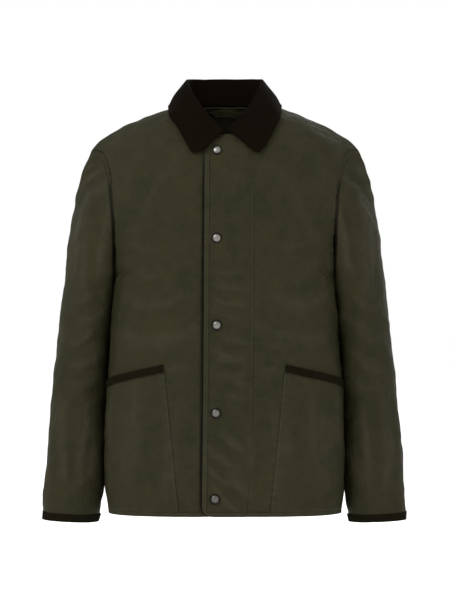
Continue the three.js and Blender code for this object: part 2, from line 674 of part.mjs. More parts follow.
/** The back in one piece, its two halves met along the middle below the neckline. */
function backGeometry() {
  return clothSolid([BACK_LEFT, BACK_RIGHT.map((line) => line.slice().reverse())], CLOTH);
}

/** One sleeve as a tube from the armhole to the cuff. */
function sleeveGrid(shares, lift) {
  return shares.map((share) => RING.map((_, index) => {
    const node = sleeveCloth(share, index, lift);
    if (share === 0) {
      node.point = RING[index].point.clone().addScaledVector(ARMHOLE[index].apart, -SEAM_GAP / 2);
      node.normal = ARMHOLE[index].sleeveRim;
    }
    return node;
  }));
}

/** A tube of sleeve cloth for either arm. */
function sleeveTube(shares, lift, thickness, left) {
  const grid = sleeveGrid(shares, lift);
  return clothSolid([left ? grid : mirrorGrid(grid)], thickness, true);
}

/** The row of the front at which the placket begins: the neckline, then a cut corner. */
function placketTopRow(x) {
  const cut = { from: -13, width: 19, rows: 0.62 };
  if (x < 0) return NECK_FRONT_ROW + PLACKET_TOP_DROP + cut.rows * clamp((cut.from - x) / cut.width, 0, 1);
  const upwards = FRONT_ROWS.filter((at) => at.row <= NECK_FRONT_ROW).reverse();
  return read(upwards, 'neckX', 'row', Math.min(x, FRONT_ROWS[3].neckX)) + PLACKET_TOP_DROP;
}

/** The row at which the placket ends, round its lower corner. */
function placketFootRow(fromEdge, inset = 0) {
  const inside = PLACKET_CORNER - clamp(fromEdge, 0, PLACKET_CORNER);
  const rounding = PLACKET_CORNER - Math.sqrt(PLACKET_CORNER ** 2 - inside ** 2);
  return rowOfHeight(HEM_Z + Math.max(rounding, inset));
}

/** A point of the placket by its share of the width and the row of the front. */
function placketNode(across, row, lift = 0) {
  const seamX = placketSeamX(row);
  const x = THREE.MathUtils.lerp(placketEdgeX(row), seamX - SEAM_GAP / 2, across);
  return bodyCloth('front', row, shareAtX('front', row, x), placketRaise(x, seamX) + lift);
}

/** A row number held between the top and the foot of the placket. */
function placketRow(across, row, inset = 0) {
  const topX = THREE.MathUtils.lerp(PLACKET_LINES[0].edgeX, PLACKET_LINES[0].seamX, across);
  const width = placketSeamX(HEM_ROW) - placketEdgeX(HEM_ROW);
  return clamp(row, placketTopRow(topX), placketFootRow(across * width, inset));
}

const PLACKET_ACROSS = [0, 0.03, 0.085, 0.17, 0.3, 0.45, 0.6, 0.72, 0.82, 0.91, 1];

/** The placket, laid over the right front. */
function placketGeometry() {
  const rows = Array.from({ length: HEM_ROW - 2 }, (_, i) => i + 3);
  const grid = rows.map((row) => (
    PLACKET_ACROSS.map((across) => placketNode(across, placketRow(across, row)))));
  return clothSolid([grid], CLOTH);
}

/** A narrow binding down the placket's free edge, round its corner and along its foot. */
function placketBindingGeometry() {
  const lift = BINDING_CLOTH + LAY_GAP;
  const width = BINDING_WIDTH / (placketSeamX(HEM_ROW) - placketEdgeX(HEM_ROW));
  const strip = [];
  for (let row = NECK_FRONT_ROW + 1; row < HEM_ROW; row += 1) {
    strip.push([0, width].map((across) => placketNode(across, placketRow(across, row), lift)));
  }
  PLACKET_ACROSS.forEach((across) => {
    const outer = placketNode(across, placketRow(across, HEM_ROW), lift);
    const within = Math.max(across, width);
    strip.push([outer, placketNode(within, placketRow(within, HEM_ROW, BINDING_WIDTH), lift)]);
  });
  return clothSolid([strip], BINDING_CLOTH);
}

/** A binding along the hem of one panel, from one of its columns to its last. */
function hemBindingGeometry(grid, fromColumn) {
  const columns = [fromColumn];
  for (let c = Math.floor(fromColumn) + 1; c < grid[0].length; c += 1) columns.push(c);
  const rows = [rowOfHeight(HEM_Z + BINDING_WIDTH), HEM_ROW];
  return clothSolid([rows.map((row) => columns.map((c) => (
    onPanel(grid, row, c, BINDING_CLOTH + LAY_GAP))))], BINDING_CLOTH);
}

/** The columns of a front that a pocket follows at one row, from its front edge. */
function pocketColumns(grid, row, sign) {
  const z = THREE.MathUtils.mapLinear(row, UNDERARM_ROW, HEM_ROW, UNDERARM_Z, HEM_Z);
  const edgeX = THREE.MathUtils.mapLinear(z, POCKET_TOP_Z, HEM_Z, POCKET_TOP_X, POCKET_FOOT_X);
  const edge = columnAtX(grid, row, sign * edgeX);
  const first = POCKET_FIRST_COLUMN;
  const whole = Array.from({ length: FRONT_COLUMNS - first }, (_, i) => i + first);
  return [edge, (2 * edge + first) / 3, (edge + 2 * first) / 3, ...whole, FRONT_COLUMNS - POCKET_STOP];
}

/** The row of the mouth at one of a pocket's columns, straight along the cloth. */
function mouthRow(grid, sign, place, above = 0) {
  const topRow = rowOfHeight(POCKET_TOP_Z);
  const columns = pocketColumns(grid, topRow, sign);
  const corner = onPanel(grid, topRow, columns[0], 0).point;
  let length = 0;
  let last = corner;
  columns.slice(1, place + 1).forEach((column) => {
    const { point } = onPanel(grid, topRow, column, 0);
    length += point.distanceTo(last);
    last = point;
  });
  return rowOfHeight(POCKET_TOP_Z - POCKET_SLOPE * length + above);
}

/** A grid laid on a front along its own columns between two rows for each of them. */
function pocketLayer(left, lift, rowsAt) {
  const grid = FRONT_GRIDS[side(left)];
  const sign = left ? 1 : -1;
  const places = pocketColumns(grid, HEM_ROW - 1, sign).length;
  const lines = Array.from({ length: places }, (_, place) => (
    rowsAt(grid, sign, place).map((row) => onPanel(grid, row, pocketColumns(grid, row, sign)[place], lift))));
  return lines[0].map((_, i) => lines.map((line) => line[i]));
}

/** A slanted patch pocket, on either side. */
function pocketGeometry(left) {
  const foot = rowOfHeight(HEM_Z + BINDING_WIDTH + SEAM_GAP);
  const grid = pocketLayer(left, PATCH_CLOTH + LAY_GAP, (panel, sign, place) => {
    const mouth = mouthRow(panel, sign, place);
    return [mouth, Math.max(18, mouth + 0.3), 19, 20, 21, 22, 23, 24, foot];
  });
  return clothSolid([grid], PATCH_CLOTH);
}

/** The binding over the edge of a pocket's mouth. */
function pocketBindingGeometry(left) {
  const lift = PATCH_CLOTH + 2 * LAY_GAP + BINDING_CLOTH;
  const grid = pocketLayer(left, lift, (panel, sign, place) => (
    [mouthRow(panel, sign, place, 1), mouthRow(panel, sign, place, -POCKET_BINDING_HEIGHT)]));
  return clothSolid([grid], BINDING_CLOTH);
}

/** A collar section: up the stand, over the rolled fold and down the leaf. */
function collarSection(at, left) {
  const front = at.side === 'front';
  const inset = left ? 0 : at.inset;
  const neckX = read(front ? FRONT_ROWS : BACK_ROWS, 'row', 'neckX', at.row);
  const footRaise = front ? placketRaise(left ? neckX : PLACKET_FLAT_X + neckX, PLACKET_LINES[0].seamX) : 0;
  const neckShare = shareAtX(at.side, at.row, neckX);
  const foot = bodyCloth(at.side, at.row, neckShare, COLLAR_FOOT_LIFT + footRaise).point;
  const edgeX = at.edgeX - inset;
  const underLeaf = front ? PLACKET_RAISE * ease(((left ? 75 : 60) - edgeX) / 25) : 0;
  const edge = bodyAt(at.side, edgeX, at.edgeZ, COLLAR_CLOTH + COLLAR_EDGE_LIFT + underLeaf);
  const fold = new THREE.Vector3(at.foldX - inset * 0.2, at.foldY, at.foldZ);
  const up = fold.clone().sub(foot.clone().add(edge.point).multiplyScalar(0.5)).normalize();
  const out = edge.point.clone().sub(foot);
  out.addScaledVector(up, -out.dot(up)).normalize();
  const rollCentre = fold.clone().addScaledVector(up, -ROLL_RADIUS);
  const standTop = rollCentre.clone().addScaledVector(out, -ROLL_RADIUS);
  const leafTop = rollCentre.clone().addScaledVector(out, ROLL_RADIUS);
  const start = foot.clone().addScaledVector(out, -COLLAR_CLOTH);
  const points = [];
  for (let i = 0; i < STAND_STEPS; i += 1) points.push(start.clone().lerp(standTop, i / STAND_STEPS));
  for (let i = 0; i <= ROLL_STEPS; i += 1) {
    const angle = Math.PI * (1 - i / ROLL_STEPS);
    points.push(rollCentre.clone()
      .addScaledVector(out, ROLL_RADIUS * Math.cos(angle))
      .addScaledVector(up, ROLL_RADIUS * Math.sin(angle)));
  }
  const leafLine = edge.point.clone().sub(leafTop);
  const leafOut = out.clone().addScaledVector(leafLine, -out.dot(leafLine) / leafLine.lengthSq()).normalize();
  for (let i = 1; i <= LEAF_STEPS; i += 1) {
    const t = i / LEAF_STEPS;
    const bulge = LEAF_BULGE * Math.sin(Math.PI * t);
    points.push(leafTop.clone().lerp(edge.point, t).addScaledVector(leafOut, bulge));
  }
  return points;
}

/** The folded collar, one line per section, from the left front end round to the right. */
function collarGeometry() {
  const half = (left) => COLLAR_SECTIONS.map((at) => collarSection(at, left));
  const right = half(false).map((points) => points.map((point) => point.multiply(MIRROR)));
  const lines = half(true).concat(right.slice(0, -1).reverse());
  const grid = lines.map((points, i) => points.map((point, j) => {
    const next = lines[Math.min(i + 1, lines.length - 1)];
    const around = next[j].clone().sub(lines[Math.max(i - 1, 0)][j]);
    const over = points[Math.min(j + 1, points.length - 1)].clone().sub(points[Math.max(j - 1, 0)]);
    return { point, normal: around.cross(over).normalize() };
  }));
  const leafOfBack = grid[COLLAR_SECTIONS.length - 1][lines[0].length - 2];
  if (leafOfBack.normal.y < 0) grid.forEach((line) => line.forEach((node) => node.normal.negate()));
  return clothSolid([grid], COLLAR_CLOTH);
}

/** A layer against the inside of the back, by rows and by columns either side of the middle. */
function insideBackGeometry(rows, columnsAt, inset, thickness) {
  return clothSolid([rows.map((row, i) => columnsAt(i).map((column) => (
    onPanel(BACK_GRID, row, BACK_COLUMNS + column, -inset))))], thickness);
}

/** The lining inside the top of the back. */
function backLiningGeometry() {
  const rows = [NECK_BACK_ROW + 0.12, 6, 7, 8, 8.5];
  return insideBackGeometry(rows, () => [-4, -3, -2, -1, 0, 1, 2, 3, 4], CLOTH + LAY_GAP, LINING_CLOTH);
}

/** The bare facing in the middle of the back neck, narrower at its foot. */
function neckFacingGeometry() {
  const rows = [0.14, 0.45, 0.8].map((below) => NECK_BACK_ROW + below);
  const columns = [[-1.35, 0, 1.55], [-0.85, 0, 1.15], [-0.75, 0, 1.05]];
  return insideBackGeometry(rows, (i) => columns[i], CLOTH + 2 * LAY_GAP + LINING_CLOTH, LINING_CLOTH);
}

/** A domed snap cap with a rolled rim, standing on the placket. */
function snapGeometry() {
  const profile = [
    [0, 0],
    [0.9, 0],
    [1, 0.22],
    [0.97, 0.42],
    [0.86, 0.6],
    [0.6, 0.86],
    [0.3, 0.97],
    [0, 1],
  ].map(([r, h]) => new THREE.Vector2(r * SNAP_RADIUS, h * SNAP_HEIGHT));
  const geometry = new THREE.LatheGeometry(profile, 14);
  geometry.deleteAttribute('uv');
  return geometry.rotateX(Math.PI / 2);
}

// Snap caps down the placket.
const SNAPS = [
  { name: 'snap_1', x: -12.5, z: -86 },
  { name: 'snap_2', x: -13, z: -233.5 },
  { name: 'snap_3', x: -13, z: -379 },
  { name: 'snap_4', x: -14.5, z: -526 },
  { name: 'snap_5', x: -16, z: -670 },
];

/** A mesh with a name and a finish. */
function piece(name, finish, geometry) {
  const mesh = new THREE.Mesh(geometry, new THREE.MeshStandardMaterial(COLOURS[finish]));
  mesh.name = name;
  return mesh;
}

/** A snap cap placed on the placket and turned to its slope. */
function snapPiece({ name, x, z }) {
  const raise = placketRaise(x, PLACKET_LINES[0].seamX);
  const seat = bodyAt('front', x, z, raise + SEAM_GAP);
  const mesh = piece(name, 'snap', snapGeometry());
  mesh.position.copy(seat.point);
  mesh.quaternion.setFromUnitVectors(new THREE.Vector3(0, 0, 1), seat.normal);
  return mesh;
}

const jacket = new THREE.Group();
const cuffShare = 1 - CUFF_BINDING_HEIGHT / SLEEVE_LENGTH;
const cuffLift = BINDING_CLOTH + LAY_GAP;

jacket.add(
  piece('back', 'cloth', backGeometry()),
  piece('placket', 'cloth', placketGeometry()),
  piece('placket_binding', 'cloth', placketBindingGeometry()),
  piece('collar', 'corduroy', collarGeometry()),
  piece('back_lining', 'lining', backLiningGeometry()),
  piece('back_neck_facing', 'cloth', neckFacingGeometry()),
  piece('hem_binding_back', 'cloth', hemBindingGeometry(BACK_GRID, 0)),
  piece('hem_binding_left', 'cloth', hemBindingGeometry(FRONT_GRIDS.left, 0)),
  piece('hem_binding_right', 'cloth', hemBindingGeometry(
    FRONT_GRIDS.right, columnAtX(FRONT_GRIDS.right, HEM_ROW, placketEdgeX(HEM_ROW) - 1.5))),
);

[true, false].forEach((left) => {
  jacket.add(
    piece(`front_${side(left)}`, 'cloth', clothSolid([FRONT_GRIDS[side(left)]], CLOTH)),
    piece(`sleeve_${side(left)}`, 'cloth', sleeveTube(sleeveShares(), 0, CLOTH, left)),
    piece(`cuff_binding_${side(left)}`, 'corduroy', (
      sleeveTube([cuffShare, 1], cuffLift, BINDING_CLOTH, left))),
    piece(`pocket_${side(left)}`, 'cloth', pocketGeometry(left)),
    piece(`pocket_binding_${side(left)}`, 'corduroy', pocketBindingGeometry(left)),
  );
});

SNAPS.forEach((snap) => jacket.add(snapPiece(snap)));

export default jacket;
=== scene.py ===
"""Dresses the waxed cotton jacket: creased cloth, corduroy, stitching, snaps, light and camera."""

import logging
import math
from dataclasses import dataclass, field
from enum import Enum

import bmesh
import bpy
import numpy as np
from mathutils import Matrix, Vector
from mathutils.bvhtree import BVHTree
from mathutils.kdtree import KDTree


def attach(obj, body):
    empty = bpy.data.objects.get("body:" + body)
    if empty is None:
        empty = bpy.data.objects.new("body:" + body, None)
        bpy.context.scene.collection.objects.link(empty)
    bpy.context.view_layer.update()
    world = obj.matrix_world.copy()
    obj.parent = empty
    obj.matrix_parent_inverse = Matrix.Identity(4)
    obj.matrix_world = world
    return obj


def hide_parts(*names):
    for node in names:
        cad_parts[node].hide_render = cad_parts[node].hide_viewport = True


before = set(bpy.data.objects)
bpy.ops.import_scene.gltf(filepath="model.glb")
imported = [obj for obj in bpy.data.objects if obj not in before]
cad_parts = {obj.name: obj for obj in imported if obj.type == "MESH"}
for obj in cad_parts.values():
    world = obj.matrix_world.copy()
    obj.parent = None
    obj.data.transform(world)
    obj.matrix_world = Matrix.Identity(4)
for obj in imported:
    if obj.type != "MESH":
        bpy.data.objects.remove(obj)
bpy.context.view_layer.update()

LOG = logging.getLogger("jacket")
MM = 0.001
Line = tuple[tuple[float, float], ...]


class Face(Enum):
    """The side of the garment that a fold or a row of stitches lies on."""

    FRONT = -1.0
    BACK = 1.0


class Aim(Enum):
    """Where a row of stitches is looked at from, to lay it on the cloth."""

    FRONT = "front"
    BACK = "back"
    ABOVE = "above"
    ROUND = "round"


class Zone(Enum):
    """The part of the garment that a fold presses."""

    BODY = "body"
    LEFT_ARM = "left arm"
    RIGHT_ARM = "right arm"
    COLLAR = "collar"


def smooth_step(low: float, high: float, value: np.ndarray) -> np.ndarray:
    """An eased step from 0 at low to 1 at high."""
    t = np.clip((value - low) / (high - low), 0.0, 1.0)
    return t * t * (3.0 - 2.0 * t)


def along_line(line: Line, x: np.ndarray, z: np.ndarray) -> tuple[np.ndarray, np.ndarray, float]:
    """Finds where points lie beside a bent line.

    Args:
        line: The line's points, in millimetres.
        x: The points' first coordinates.
        z: The points' second coordinates.

    Returns:
        The signed distance from the line, the length along it, and the line's whole length.
    """
    best = np.full(x.shape, 1e9)
    signed = np.zeros(x.shape)
    run = np.zeros(x.shape)
    start = 0.0
    for (ax, az), (bx, bz) in zip(line[:-1], line[1:]):
        dx, dz = bx - ax, bz - az
        length = math.hypot(dx, dz)
        t = np.clip(((x - ax) * dx + (z - az) * dz) / length**2, 0.0, 1.0)
        ox, oz = x - ax - t * dx, z - az - t * dz
        away = np.hypot(ox, oz)
        nearer = away < best
        side = np.where(ox * dz - oz * dx < 0.0, -1.0, 1.0)
        best = np.where(nearer, away, best)
        signed = np.where(nearer, away * side, signed)
        run = np.where(nearer, start + t * length, run)
        start += length
    return signed, run, start


@dataclass(frozen=True)
class Fold:
    """A soft trough with raised shoulders along a bent line, seen from the front or the back."""

    zone: Zone
    face: Face
    line: Line
    width: float
    depth: float
    lean: float = 0.0
    shoulder: float = 0.45

    def relief(self, x: np.ndarray, z: np.ndarray) -> np.ndarray:
        """Gives the height that the fold adds, in millimetres.

        Args:
            x: Coordinates across the garment, in millimetres.
            z: Heights, in millimetres.

        Returns:
            The height at each point, below zero in the trough.
        """
        signed, run, length = along_line(self.line, x, z)
        q = signed / self.width * (1.0 + self.lean * np.sign(signed))
        fade = np.clip(run / length, 0.0, 1.0)
        taper = np.sin(np.pi * fade) ** 0.75
        trough = np.exp(-q * q)
        rise = np.exp(-((np.abs(q) - 1.75) ** 2) * 1.2)
        return -self.depth * taper * (trough - self.shoulder * rise)


@dataclass(frozen=True)
class Seam:
    """A sewn line: a narrow groove with small uneven puckers on both sides, and painted shade along it where a shade
    is given.
    """

    zone: Zone
    face: Face
    line: Line
    groove: float = 0.5
    pucker: float = 0.45
    pitch: float = 11.0
    reach: float = 7.0
    seed: int = 1
    width: float = 1.8
    shade: float = 0.0
    only: tuple[str, ...] = ()

    def relief(self, x: np.ndarray, z: np.ndarray) -> np.ndarray:
        """Gives the height that the sewing adds, in millimetres.

        Args:
            x: Coordinates across the garment, in millimetres.
            z: Heights, in millimetres.

        Returns:
            The height at each point.
        """
        signed, run, length = along_line(self.line, x, z)
        draw = np.random.default_rng(self.seed)
        phase, swell = draw.uniform(0.0, math.tau, 2)
        wave = np.sin(run / self.pitch * math.tau + 1.6 * np.sin(run / 47.0 + phase) + phase)
        strength = 0.55 + 0.45 * np.sin(run / 71.0 + swell)
        ends = smooth_step(0.0, 12.0, run) * smooth_step(0.0, 12.0, length - run)
        pucker = self.pucker * strength * wave * np.exp(-((signed / self.reach) ** 2))
        return ends * (pucker - self.groove * np.exp(-((signed / self.width) ** 2)))

    def painted_shade(self, x: np.ndarray, z: np.ndarray) -> np.ndarray:
        """Gives how much painted shade the line lays at each point, from 0 to 1.

        Args:
            x: Coordinates across the garment, in millimetres.
            z: Heights, in millimetres.

        Returns:
            The painted shade at each point.
        """
        signed, run, length = along_line(self.line, x, z)
        ends = smooth_step(0.0, 26.0, run) * smooth_step(0.0, 5.0, length - run)
        return self.shade * ends * np.exp(-((signed / self.width) ** 4))


@dataclass(frozen=True)
class Unevenness:
    """Broad gentle waves that keep the cloth from lying like a board."""

    seed: int = 7
    waves: int = 14
    longest: float = 190.0
    shortest: float = 45.0
    height: float = 0.42

    def relief(self, points: np.ndarray) -> np.ndarray:
        """Gives the waves' height at points in space.

        Args:
            points: Rows of x, y and z, in millimetres.

        Returns:
            The height at each point, in millimetres.
        """
        draw = np.random.default_rng(self.seed)
        total = np.zeros(len(points))
        for _ in range(self.waves):
            way = draw.normal(size=3)
            way /= np.linalg.norm(way)
            length = draw.uniform(self.shortest, self.longest)
            phase = draw.uniform(0.0, math.tau)
            total += self.height * np.sin(points @ way / length * math.tau + phase) * length / self.longest
        return total


BROAD_WAVES = Unevenness()
FINE_RUMPLE = Unevenness(seed=23, waves=40, longest=46.0, shortest=13.0, height=0.17)

PLACKET_SEAM: Line = ((49.0, -60.0), (49.5, -300.0), (47.5, -510.0), (42.0, -620.0), (37.5, -694.0))
PLACKET_EDGE: Line = ((-29.0, -96.0), (-30.5, -300.0), (-32.0, -510.0), (-34.0, -676.0))
PLACKET_GAP: Line = (
    (-32.0, -88.0), (-34.2, -150.0), (-35.6, -300.0), (-37.2, -510.0), (-39.0, -660.0), (-39.2, -680.0),
    (-36.0, -690.0), (-29.0, -697.0), (-18.0, -701.5),
)
POCKET_FRONT_LEFT: Line = ((102.0, -449.0), (94.2, -524.0), (86.1, -605.0), (77.5, -690.0))
POCKET_FRONT_RIGHT: Line = tuple((-x, z) for x, z in POCKET_FRONT_LEFT)
ARMHOLE_LEFT: Line = ((222.0, -88.0), (205.0, -104.0), (198.0, -130.0), (191.0, -165.0), (187.0, -215.0), (186.0, -270.0))
ARMHOLE_RIGHT: Line = tuple((-x, z) for x, z in ARMHOLE_LEFT)
ARMPIT_LEFT: Line = ((199.0, -124.0), (193.5, -150.0), (189.5, -200.0), (188.0, -250.0), (189.0, -312.0))
ARMPIT_RIGHT: Line = tuple((-x, z) for x, z in ARMPIT_LEFT)

FRONT, BACK = Face.FRONT, Face.BACK
BODY, LEFT_ARM, RIGHT_ARM = Zone.BODY, Zone.LEFT_ARM, Zone.RIGHT_ARM

FOLDS: tuple[Fold, ...] = (
    # Chest: long soft drags from the collar towards each armhole
    Fold(BODY, FRONT, ((88.0, -78.0), (122.0, -118.0), (150.0, -170.0), (168.0, -232.0)), 15.0, 0.7, 0.25),
    Fold(BODY, FRONT, ((-90.0, -82.0), (-126.0, -122.0), (-152.0, -172.0), (-170.0, -225.0)), 14.0, 0.7, -0.25),
    Fold(BODY, FRONT, ((150.0, -66.0), (176.0, -100.0), (186.0, -146.0)), 10.0, 0.7, 0.2),
    Fold(BODY, FRONT, ((-148.0, -62.0), (-174.0, -96.0), (-186.0, -140.0)), 10.0, 0.8, -0.2),
    Fold(BODY, FRONT, ((172.0, -246.0), (140.0, -262.0), (98.0, -268.0)), 10.0, 0.9),
    Fold(BODY, FRONT, ((-174.0, -250.0), (-144.0, -270.0), (-108.0, -276.0)), 9.0, 0.9),
    Fold(BODY, FRONT, ((178.0, -292.0), (142.0, -322.0), (104.0, -334.0)), 13.0, 1.1),
    Fold(BODY, FRONT, ((-178.0, -296.0), (-138.0, -318.0), (-98.0, -322.0)), 12.0, 1.0),
    # Placket: short level drags between the snaps, and the slant ones near its foot
    Fold(BODY, FRONT, ((-24.0, -300.0), (6.0, -306.0), (40.0, -302.0)), 6.0, 1.3),
    Fold(BODY, FRONT, ((-18.0, -322.0), (14.0, -331.0), (44.0, -333.0)), 7.0, 1.6),
    Fold(BODY, FRONT, ((-6.0, -352.0), (22.0, -357.0), (46.0, -350.0)), 5.5, 1.1),
    Fold(BODY, FRONT, ((-20.0, -404.0), (8.0, -418.0), (44.0, -424.0)), 7.5, 1.7),
    Fold(BODY, FRONT, ((-26.0, -444.0), (4.0, -452.0), (34.0, -449.0)), 6.5, 1.4),
    Fold(BODY, FRONT, ((2.0, -482.0), (26.0, -490.0), (48.0, -488.0)), 6.0, 1.2),
    Fold(BODY, FRONT, ((-30.0, -562.0), (-6.0, -586.0), (22.0, -604.0), (40.0, -610.0)), 8.0, 2.0, 0.2),
    Fold(BODY, FRONT, ((-30.0, -600.0), (-8.0, -622.0), (20.0, -640.0)), 7.0, 1.8, 0.2),
    Fold(BODY, FRONT, ((-14.0, -634.0), (6.0, -660.0), (34.0, -688.0)), 8.0, 2.6, 0.25),
    Fold(BODY, FRONT, ((-4.0, -62.0), (10.0, -68.0), (27.0, -67.0)), 3.6, 0.9),
    Fold(BODY, FRONT, ((0.0, -74.0), (14.0, -80.0), (32.0, -80.0)), 3.8, 0.9),
    # Belly and skirt of both fronts
    Fold(BODY, FRONT, ((56.0, -352.0), (96.0, -372.0), (138.0, -378.0), (178.0, -368.0)), 15.0, 1.44, 0.15),
    Fold(BODY, FRONT, ((-44.0, -346.0), (-88.0, -366.0), (-132.0, -372.0), (-180.0, -358.0)), 15.0, 1.5, 0.15),
    Fold(BODY, FRONT, ((62.0, -428.0), (92.0, -436.0), (120.0, -430.0)), 11.0, 1.08),
    Fold(BODY, FRONT, ((-58.0, -424.0), (-90.0, -434.0), (-124.0, -424.0)), 10.0, 1.08),
    Fold(BODY, FRONT, ((58.0, -520.0), (68.0, -590.0), (62.0, -668.0)), 12.0, 1.14),
    Fold(BODY, FRONT, ((-54.0, -500.0), (-62.0, -580.0), (-56.0, -664.0)), 12.0, 1.2),
    Fold(BODY, FRONT, ((128.0, -512.0), (136.0, -584.0), (126.0, -660.0)), 18.0, 1.32),
    Fold(BODY, FRONT, ((-132.0, -520.0), (-124.0, -596.0), (-134.0, -668.0)), 18.0, 1.26),
    Fold(BODY, FRONT, ((172.0, -470.0), (170.0, -540.0), (178.0, -620.0)), 12.0, 1.38),
    Fold(BODY, FRONT, ((-172.0, -462.0), (-174.0, -548.0), (-166.0, -616.0)), 12.0, 1.38),
    # Back: drags from the shoulder blades, across the waist and down the skirt
    Fold(BODY, BACK, ((92.0, -60.0), (128.0, -122.0), (150.0, -196.0), (160.0, -270.0)), 16.0, 1.86, 0.2),
    Fold(BODY, BACK, ((-96.0, -66.0), (-124.0, -130.0), (-152.0, -204.0), (-162.0, -262.0)), 16.0, 1.74, -0.2),
    Fold(BODY, BACK, ((176.0, -210.0), (140.0, -262.0), (96.0, -300.0)), 13.0, 1.61),
    Fold(BODY, BACK, ((-176.0, -218.0), (-136.0, -262.0), (-92.0, -292.0)), 13.0, 1.49),
    Fold(BODY, BACK, ((-66.0, -34.0), (-8.0, -52.0), (58.0, -36.0)), 12.0, 1.12),
    Fold(BODY, BACK, ((178.0, -332.0), (120.0, -372.0), (52.0, -386.0), (-16.0, -378.0)), 15.0, 1.86, 0.2),
    Fold(BODY, BACK, ((-178.0, -346.0), (-126.0, -398.0), (-58.0, -420.0), (2.0, -416.0)), 15.0, 1.74, 0.2),
    Fold(BODY, BACK, ((172.0, -420.0), (118.0, -462.0), (62.0, -472.0)), 14.0, 1.36),
    Fold(BODY, BACK, ((-168.0, -470.0), (-108.0, -502.0), (-44.0, -498.0)), 14.0, 1.36),
    Fold(BODY, BACK, ((26.0, -500.0), (34.0, -590.0), (22.0, -690.0)), 20.0, 1.86),
    Fold(BODY, BACK, ((-82.0, -540.0), (-92.0, -610.0), (-84.0, -690.0)), 20.0, 1.61),
    Fold(BODY, BACK, ((118.0, -540.0), (130.0, -612.0), (122.0, -690.0)), 19.0, 1.61),
    # Sleeve on the wearer's right, at the left of the picture
    Fold(RIGHT_ARM, FRONT, ((-208.0, -118.0), (-222.0, -136.0), (-236.0, -146.0)), 6.5, 2.4, 0.3),
    Fold(RIGHT_ARM, FRONT, ((-214.0, -108.0), (-228.0, -118.0), (-238.0, -122.0)), 5.0, 1.4),
    Fold(RIGHT_ARM, FRONT, ((-204.0, -150.0), (-214.0, -196.0), (-226.0, -252.0), (-232.0, -300.0)), 11.0, 2.8, -0.2),
    Fold(RIGHT_ARM, FRONT, ((-252.0, -190.0), (-256.0, -262.0), (-262.0, -340.0)), 9.0, 1.8),
    Fold(RIGHT_ARM, FRONT, ((-206.0, -330.0), (-228.0, -352.0), (-256.0, -360.0)), 9.0, 1.5),
    Fold(RIGHT_ARM, FRONT, ((-208.0, -392.0), (-232.0, -418.0), (-262.0, -428.0)), 9.0, 1.7, 0.2),
    Fold(RIGHT_ARM, FRONT, ((-214.0, -452.0), (-240.0, -466.0), (-270.0, -462.0)), 8.0, 1.3),
    Fold(RIGHT_ARM, FRONT, ((-252.0, -500.0), (-256.0, -580.0), (-250.0, -660.0)), 11.0, 2.4),
    Fold(RIGHT_ARM, FRONT, ((-284.0, -470.0), (-290.0, -560.0), (-292.0, -640.0)), 8.0, 1.6),
    Fold(RIGHT_ARM, FRONT, ((-222.0, -560.0), (-232.0, -610.0), (-228.0, -660.0)), 8.0, 1.6),
    Fold(RIGHT_ARM, BACK, ((-206.0, -170.0), (-226.0, -214.0), (-246.0, -248.0)), 12.0, 2.6),
    Fold(RIGHT_ARM, BACK, ((-206.0, -300.0), (-236.0, -322.0), (-262.0, -326.0)), 10.0, 2.6),
    Fold(RIGHT_ARM, BACK, ((-210.0, -356.0), (-240.0, -384.0), (-270.0, -392.0)), 10.0, 3.0, 0.2),
    Fold(RIGHT_ARM, BACK, ((-214.0, -420.0), (-246.0, -440.0), (-276.0, -440.0)), 10.0, 2.6),
    Fold(RIGHT_ARM, BACK, ((-244.0, -480.0), (-262.0, -560.0), (-258.0, -650.0)), 12.0, 2.4),
    # Sleeve on the wearer's left
    Fold(LEFT_ARM, FRONT, ((206.0, -116.0), (219.0, -132.0), (236.0, -140.0)), 7.0, 2.2, 0.3),
    Fold(LEFT_ARM, FRONT, ((204.0, -158.0), (216.0, -208.0), (224.0, -262.0), (234.0, -306.0)), 11.0, 2.7, 0.2),
    Fold(LEFT_ARM, FRONT, ((250.0, -204.0), (258.0, -276.0), (260.0, -346.0)), 9.0, 1.8),
    Fold(LEFT_ARM, FRONT, ((206.0, -342.0), (232.0, -366.0), (262.0, -370.0)), 9.0, 1.5),
    Fold(LEFT_ARM, FRONT, ((210.0, -404.0), (238.0, -424.0), (268.0, -426.0)), 9.0, 1.6, 0.2),
    Fold(LEFT_ARM, FRONT, ((214.0, -446.0), (240.0, -470.0), (272.0, -478.0)), 8.0, 1.3),
    Fold(LEFT_ARM, FRONT, ((254.0, -508.0), (262.0, -584.0), (252.0, -664.0)), 11.0, 2.3),
    Fold(LEFT_ARM, FRONT, ((286.0, -480.0), (288.0, -566.0), (294.0, -650.0)), 8.0, 1.6),
    Fold(LEFT_ARM, FRONT, ((222.0, -548.0), (230.0, -600.0), (232.0, -654.0)), 8.0, 1.6),
    Fold(LEFT_ARM, BACK, ((206.0, -178.0), (224.0, -222.0), (248.0, -260.0)), 12.0, 2.6),
    Fold(LEFT_ARM, BACK, ((206.0, -310.0), (238.0, -328.0), (264.0, -330.0)), 10.0, 2.6),
    Fold(LEFT_ARM, BACK, ((210.0, -372.0), (240.0, -396.0), (270.0, -400.0)), 10.0, 3.0, 0.2),
    Fold(LEFT_ARM, BACK, ((214.0, -430.0), (246.0, -452.0), (278.0, -456.0)), 10.0, 2.4),
    Fold(LEFT_ARM, BACK, ((246.0, -496.0), (258.0, -566.0), (264.0, -650.0)), 12.0, 2.4),
)

